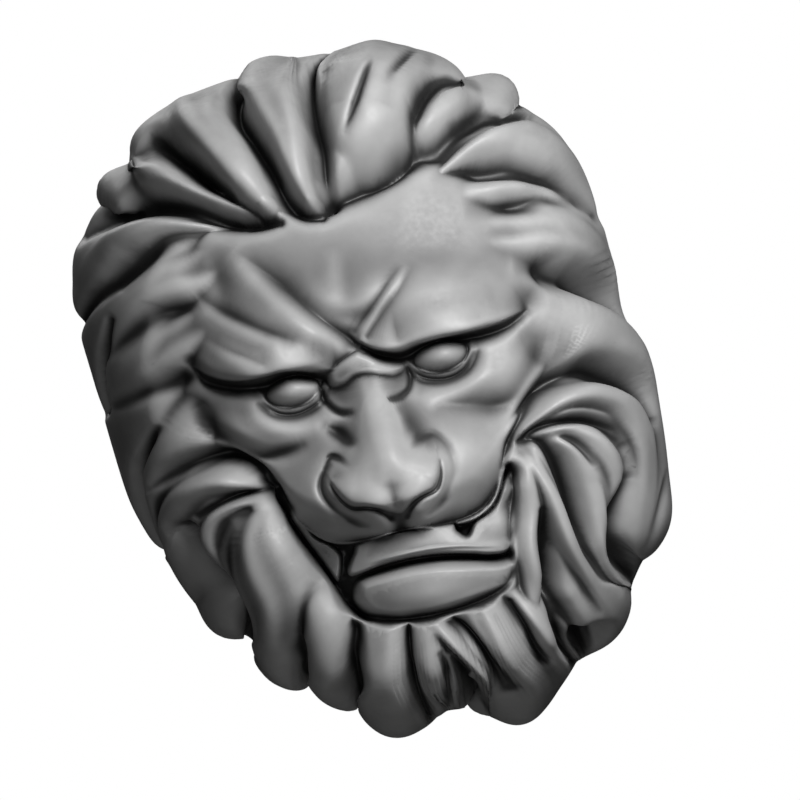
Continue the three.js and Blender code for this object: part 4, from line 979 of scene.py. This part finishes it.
def mask_mesh():
    """The carved front and the flat back as one closed mesh, in metres."""
    grid = carved_grid()
    rows, columns = grid.shape[:2]
    scale = np.array([METRES_PER_U, METRES_PER_H, METRES_PER_V])
    points = (grid * scale).reshape(-1, 3)
    points[:, 1] = -np.maximum(points[:, 1], 0)
    index = np.arange(rows * columns).reshape(rows, columns)
    rim = np.concatenate([index[0, :-1], index[:-1, -1], index[-1, :0:-1], index[:0:-1, 0]])
    middle = len(points)
    back = np.stack([np.full(len(rim), middle), np.roll(rim, -1), rim], -1)
    faces = np.concatenate([front_triangles(points, index), back])
    mesh = bpy.data.meshes.new("carved mask")
    mesh.from_pydata(np.vstack([points, [[0, 0, 0]]]).tolist(), [], faces.tolist())
    smooth = np.ones(len(faces), bool)
    smooth[-len(back):] = False
    mesh.polygons.foreach_set("use_smooth", smooth)
    mesh.update()
    # Each point keeps its crease and hollow depths, which paint shade and highlight into the stone's
    # colour.
    for name, passes in (("crease", CREASE_PASSES), ("hollow", HOLLOW_PASSES)):
        depths = np.append(hollowness(grid, passes).ravel(), 0)
        depths[rim] = 0
        attribute = mesh.attributes.new(name, "FLOAT", "POINT")
        attribute.data.foreach_set("value", depths.astype(np.float32))
    return mesh


# The stone: each noise's scale per metre and detail, what its middle range turns into, and the
# depths in modules at which creases and hollows get a painted highlight or painted shade in its
# tone, and by how much.
NOISE_LOW, NOISE_HIGH = 0.3, 0.7
TONE_NOISE, TONES = (60, 6), (0.27, 0.31)
ROUGHNESS_NOISE, ROUGHNESSES = (300, 4), (0.46, 0.56)
GRAIN_NOISE, GRAIN_STRENGTH, GRAIN_DEPTH = (1800, 3), 0.12, 0.0003
PAINTED_CREASE_SHADE = {"crown": -1.0, "bottom": 1.6, "painted_highlight_factor": 1.05, "painted_shade_factor": 0.15}
PAINTED_HOLLOW_SHADE = {"crown": -5.0, "bottom": 9.0, "painted_highlight_factor": 1.08, "painted_shade_factor": 0.2}


def cast_stone():
    """Fine-grained grey cast stone with painted highlights on its high spots, painted shade in
    hollows.
    """
    material = bpy.data.materials.new("cast_stone")
    material.use_nodes = True
    nodes, links = material.node_tree.nodes, material.node_tree.links
    nodes.clear()
    output = nodes.new("ShaderNodeOutputMaterial")
    shader = nodes.new("ShaderNodeBsdfPrincipled")
    links.new(shader.outputs["BSDF"], output.inputs["Surface"])
    place = nodes.new("ShaderNodeTexCoord").outputs["Object"]

    def noise(scale, detail):
        node = nodes.new("ShaderNodeTexNoise")
        node.inputs["Scale"].default_value = scale
        node.inputs["Detail"].default_value = detail
        links.new(place, node.inputs["Vector"])
        return node.outputs["Fac"]

    def remap(value, low, high):
        node = nodes.new("ShaderNodeMapRange")
        node.inputs["From Min"].default_value = NOISE_LOW
        node.inputs["From Max"].default_value = NOISE_HIGH
        node.inputs["To Min"].default_value = low
        node.inputs["To Max"].default_value = high
        links.new(value, node.inputs["Value"])
        return node.outputs["Result"]

    def paint_light_and_shade(value, name, crown, bottom, painted_highlight_factor, painted_shade_factor):
        """The value with a painted highlight on the mesh's high spots and painted shade in its
        hollows.
        """
        depth = nodes.new("ShaderNodeAttribute")
        depth.attribute_name = name
        shade = nodes.new("ShaderNodeMapRange")
        shade.interpolation_type = "SMOOTHSTEP"
        shade.inputs["From Min"].default_value = crown
        shade.inputs["From Max"].default_value = bottom
        shade.inputs["To Min"].default_value = painted_highlight_factor
        shade.inputs["To Max"].default_value = painted_shade_factor
        links.new(depth.outputs["Fac"], shade.inputs["Value"])
        product = nodes.new("ShaderNodeMath")
        product.operation = "MULTIPLY"
        links.new(value, product.inputs[0])
        links.new(shade.outputs["Result"], product.inputs[1])
        return product.outputs["Value"]

    # The base colour: the stone's noisy tone times painted shade in creases and hollows and a
    # painted highlight on high spots.
    tone = nodes.new("ShaderNodeCombineColor")
    tone_and_painted_shade = paint_light_and_shade(remap(noise(*TONE_NOISE), *TONES), "crease", **PAINTED_CREASE_SHADE)
    tone_and_painted_shade = paint_light_and_shade(tone_and_painted_shade, "hollow", **PAINTED_HOLLOW_SHADE)
    for channel in ("Red", "Green", "Blue"):
        links.new(tone_and_painted_shade, tone.inputs[channel])
    links.new(tone.outputs["Color"], shader.inputs["Base Color"])
    links.new(remap(noise(*ROUGHNESS_NOISE), *ROUGHNESSES), shader.inputs["Roughness"])
    grain = nodes.new("ShaderNodeBump")
    grain.inputs["Strength"].default_value = GRAIN_STRENGTH
    grain.inputs["Distance"].default_value = GRAIN_DEPTH
    links.new(noise(*GRAIN_NOISE), grain.inputs["Height"])
    links.new(grain.outputs["Normal"], shader.inputs["Normal"])
    return material


def carved_mask():
    mask = bpy.data.objects.new("lion_mask_carved", mask_mesh())
    bpy.context.collection.objects.link(mask)
    mask.data.materials.append(cast_stone())
    thin_out(mask)
    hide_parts("lion_mask")
    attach(mask, "root")


# The camera stands where the carving is drawn from, as in the photograph, leaning so that the
# head's top tips left. It sees FRAME_MODULES across and aims at a place in the drawing.
CAMERA_DISTANCE = 5.0
CAMERA_LEAN = math.radians(13.5)
FRAME_MODULES = 800
AIM_U, AIM_V = 26, 32
SENSOR = 0.036
MILLIMETRES = 1000
FARTHEST_SEEN = 100


def look_from(azimuth, elevation):
    """The direction of a place that many degrees to the right of straight ahead, and up."""
    a, e = math.radians(azimuth), math.radians(elevation)
    return Vector((math.sin(a) * math.cos(e), -math.cos(a) * math.cos(e), math.sin(e)))


def photograph_camera():
    data = bpy.data.cameras.new("camera")
    camera = bpy.data.objects.new("camera", data)
    bpy.context.collection.objects.link(camera)
    bpy.context.scene.camera = camera
    back = look_from(math.degrees(DRAWN_FROM_SIDE), math.degrees(DRAWN_FROM_ABOVE))
    turn = back.to_track_quat("Z", "Y").to_matrix()
    right, up = turn.col[0], turn.col[1]
    eyes = Vector((0, -CROWN_DEPTH, EYE_LINE_RISE * METRES_PER_V))
    target = eyes + right * AIM_U * METRES_PER_U - up * AIM_V * METRES_PER_V
    lean = Matrix.Rotation(-CAMERA_LEAN, 3, "Z")
    place = Matrix.Translation(target + back * CAMERA_DISTANCE)
    camera.matrix_world = place @ (turn @ lean).to_4x4()
    data.sensor_width = SENSOR * MILLIMETRES
    data.lens = SENSOR * MILLIMETRES * CAMERA_DISTANCE / (FRAME_MODULES * METRES_PER_V)
    data.clip_end = FARTHEST_SEEN


def area_light(name, toward, distance, size, power):
    data = bpy.data.lights.new(name, "AREA")
    data.shape = "DISK"
    data.size = size
    data.energy = power
    light = bpy.data.objects.new(name, data)
    bpy.context.collection.objects.link(light)
    light.location = toward * distance
    light.rotation_mode = "QUATERNION"
    light.rotation_quaternion = toward.to_track_quat("Z", "Y")


# The floor under the mask, and the lights: azimuth and elevation, distance, size and power.
FLOOR_RADIUS, FLOOR_LEVEL, FLOOR_SIDES = 1.1, -1.7, 64
FLOOR_COLOUR, FLOOR_ROUGHNESS = (0.75, 0.75, 0.74, 1), 0.8
LIGHTS = {
    "key": ((29, 27), 0.95, 0.5, 11),
    "front": ((-8, -10), 4.5, 1.6, 24),
    "back": ((200, 40), 3.0, 2.0, 30),
}
AMBIENT_STRENGTH, BACKDROP_STRENGTH = 0.006, 1.0


def studio():
    """A pale floor, three lights, and a white backdrop that lights the mask only a little."""
    floor_mesh = bpy.data.meshes.new("floor")
    turns = [k * math.tau / FLOOR_SIDES for k in range(FLOOR_SIDES)]
    corners = [(FLOOR_RADIUS * math.cos(a), FLOOR_RADIUS * math.sin(a), FLOOR_LEVEL) for a in turns]
    floor_mesh.from_pydata(corners, [], [range(FLOOR_SIDES)])
    floor = bpy.data.objects.new("floor", floor_mesh)
    bpy.context.collection.objects.link(floor)
    material = bpy.data.materials.new("pale floor")
    material.use_nodes = True
    shader = material.node_tree.nodes["Principled BSDF"]
    shader.inputs["Base Color"].default_value = FLOOR_COLOUR
    shader.inputs["Roughness"].default_value = FLOOR_ROUGHNESS
    floor.data.materials.append(material)
    for name, (angles, distance, size, power) in LIGHTS.items():
        area_light(name, look_from(*angles), distance, size, power)
    world = bpy.data.worlds.new("studio")
    bpy.context.scene.world = world
    world.use_nodes = True
    nodes, links = world.node_tree.nodes, world.node_tree.links
    background = nodes["Background"]
    seen = nodes.new("ShaderNodeLightPath").outputs["Is Camera Ray"]
    strength = nodes.new("ShaderNodeMapRange")
    strength.inputs["To Min"].default_value = AMBIENT_STRENGTH
    strength.inputs["To Max"].default_value = BACKDROP_STRENGTH
    links.new(seen, strength.inputs["Value"])
    links.new(strength.outputs["Result"], background.inputs["Strength"])
    background.inputs["Color"].default_value = (1, 1, 1, 1)
    bpy.context.scene.view_settings.view_transform = "Standard"


carved_mask()
photograph_camera()
studio()
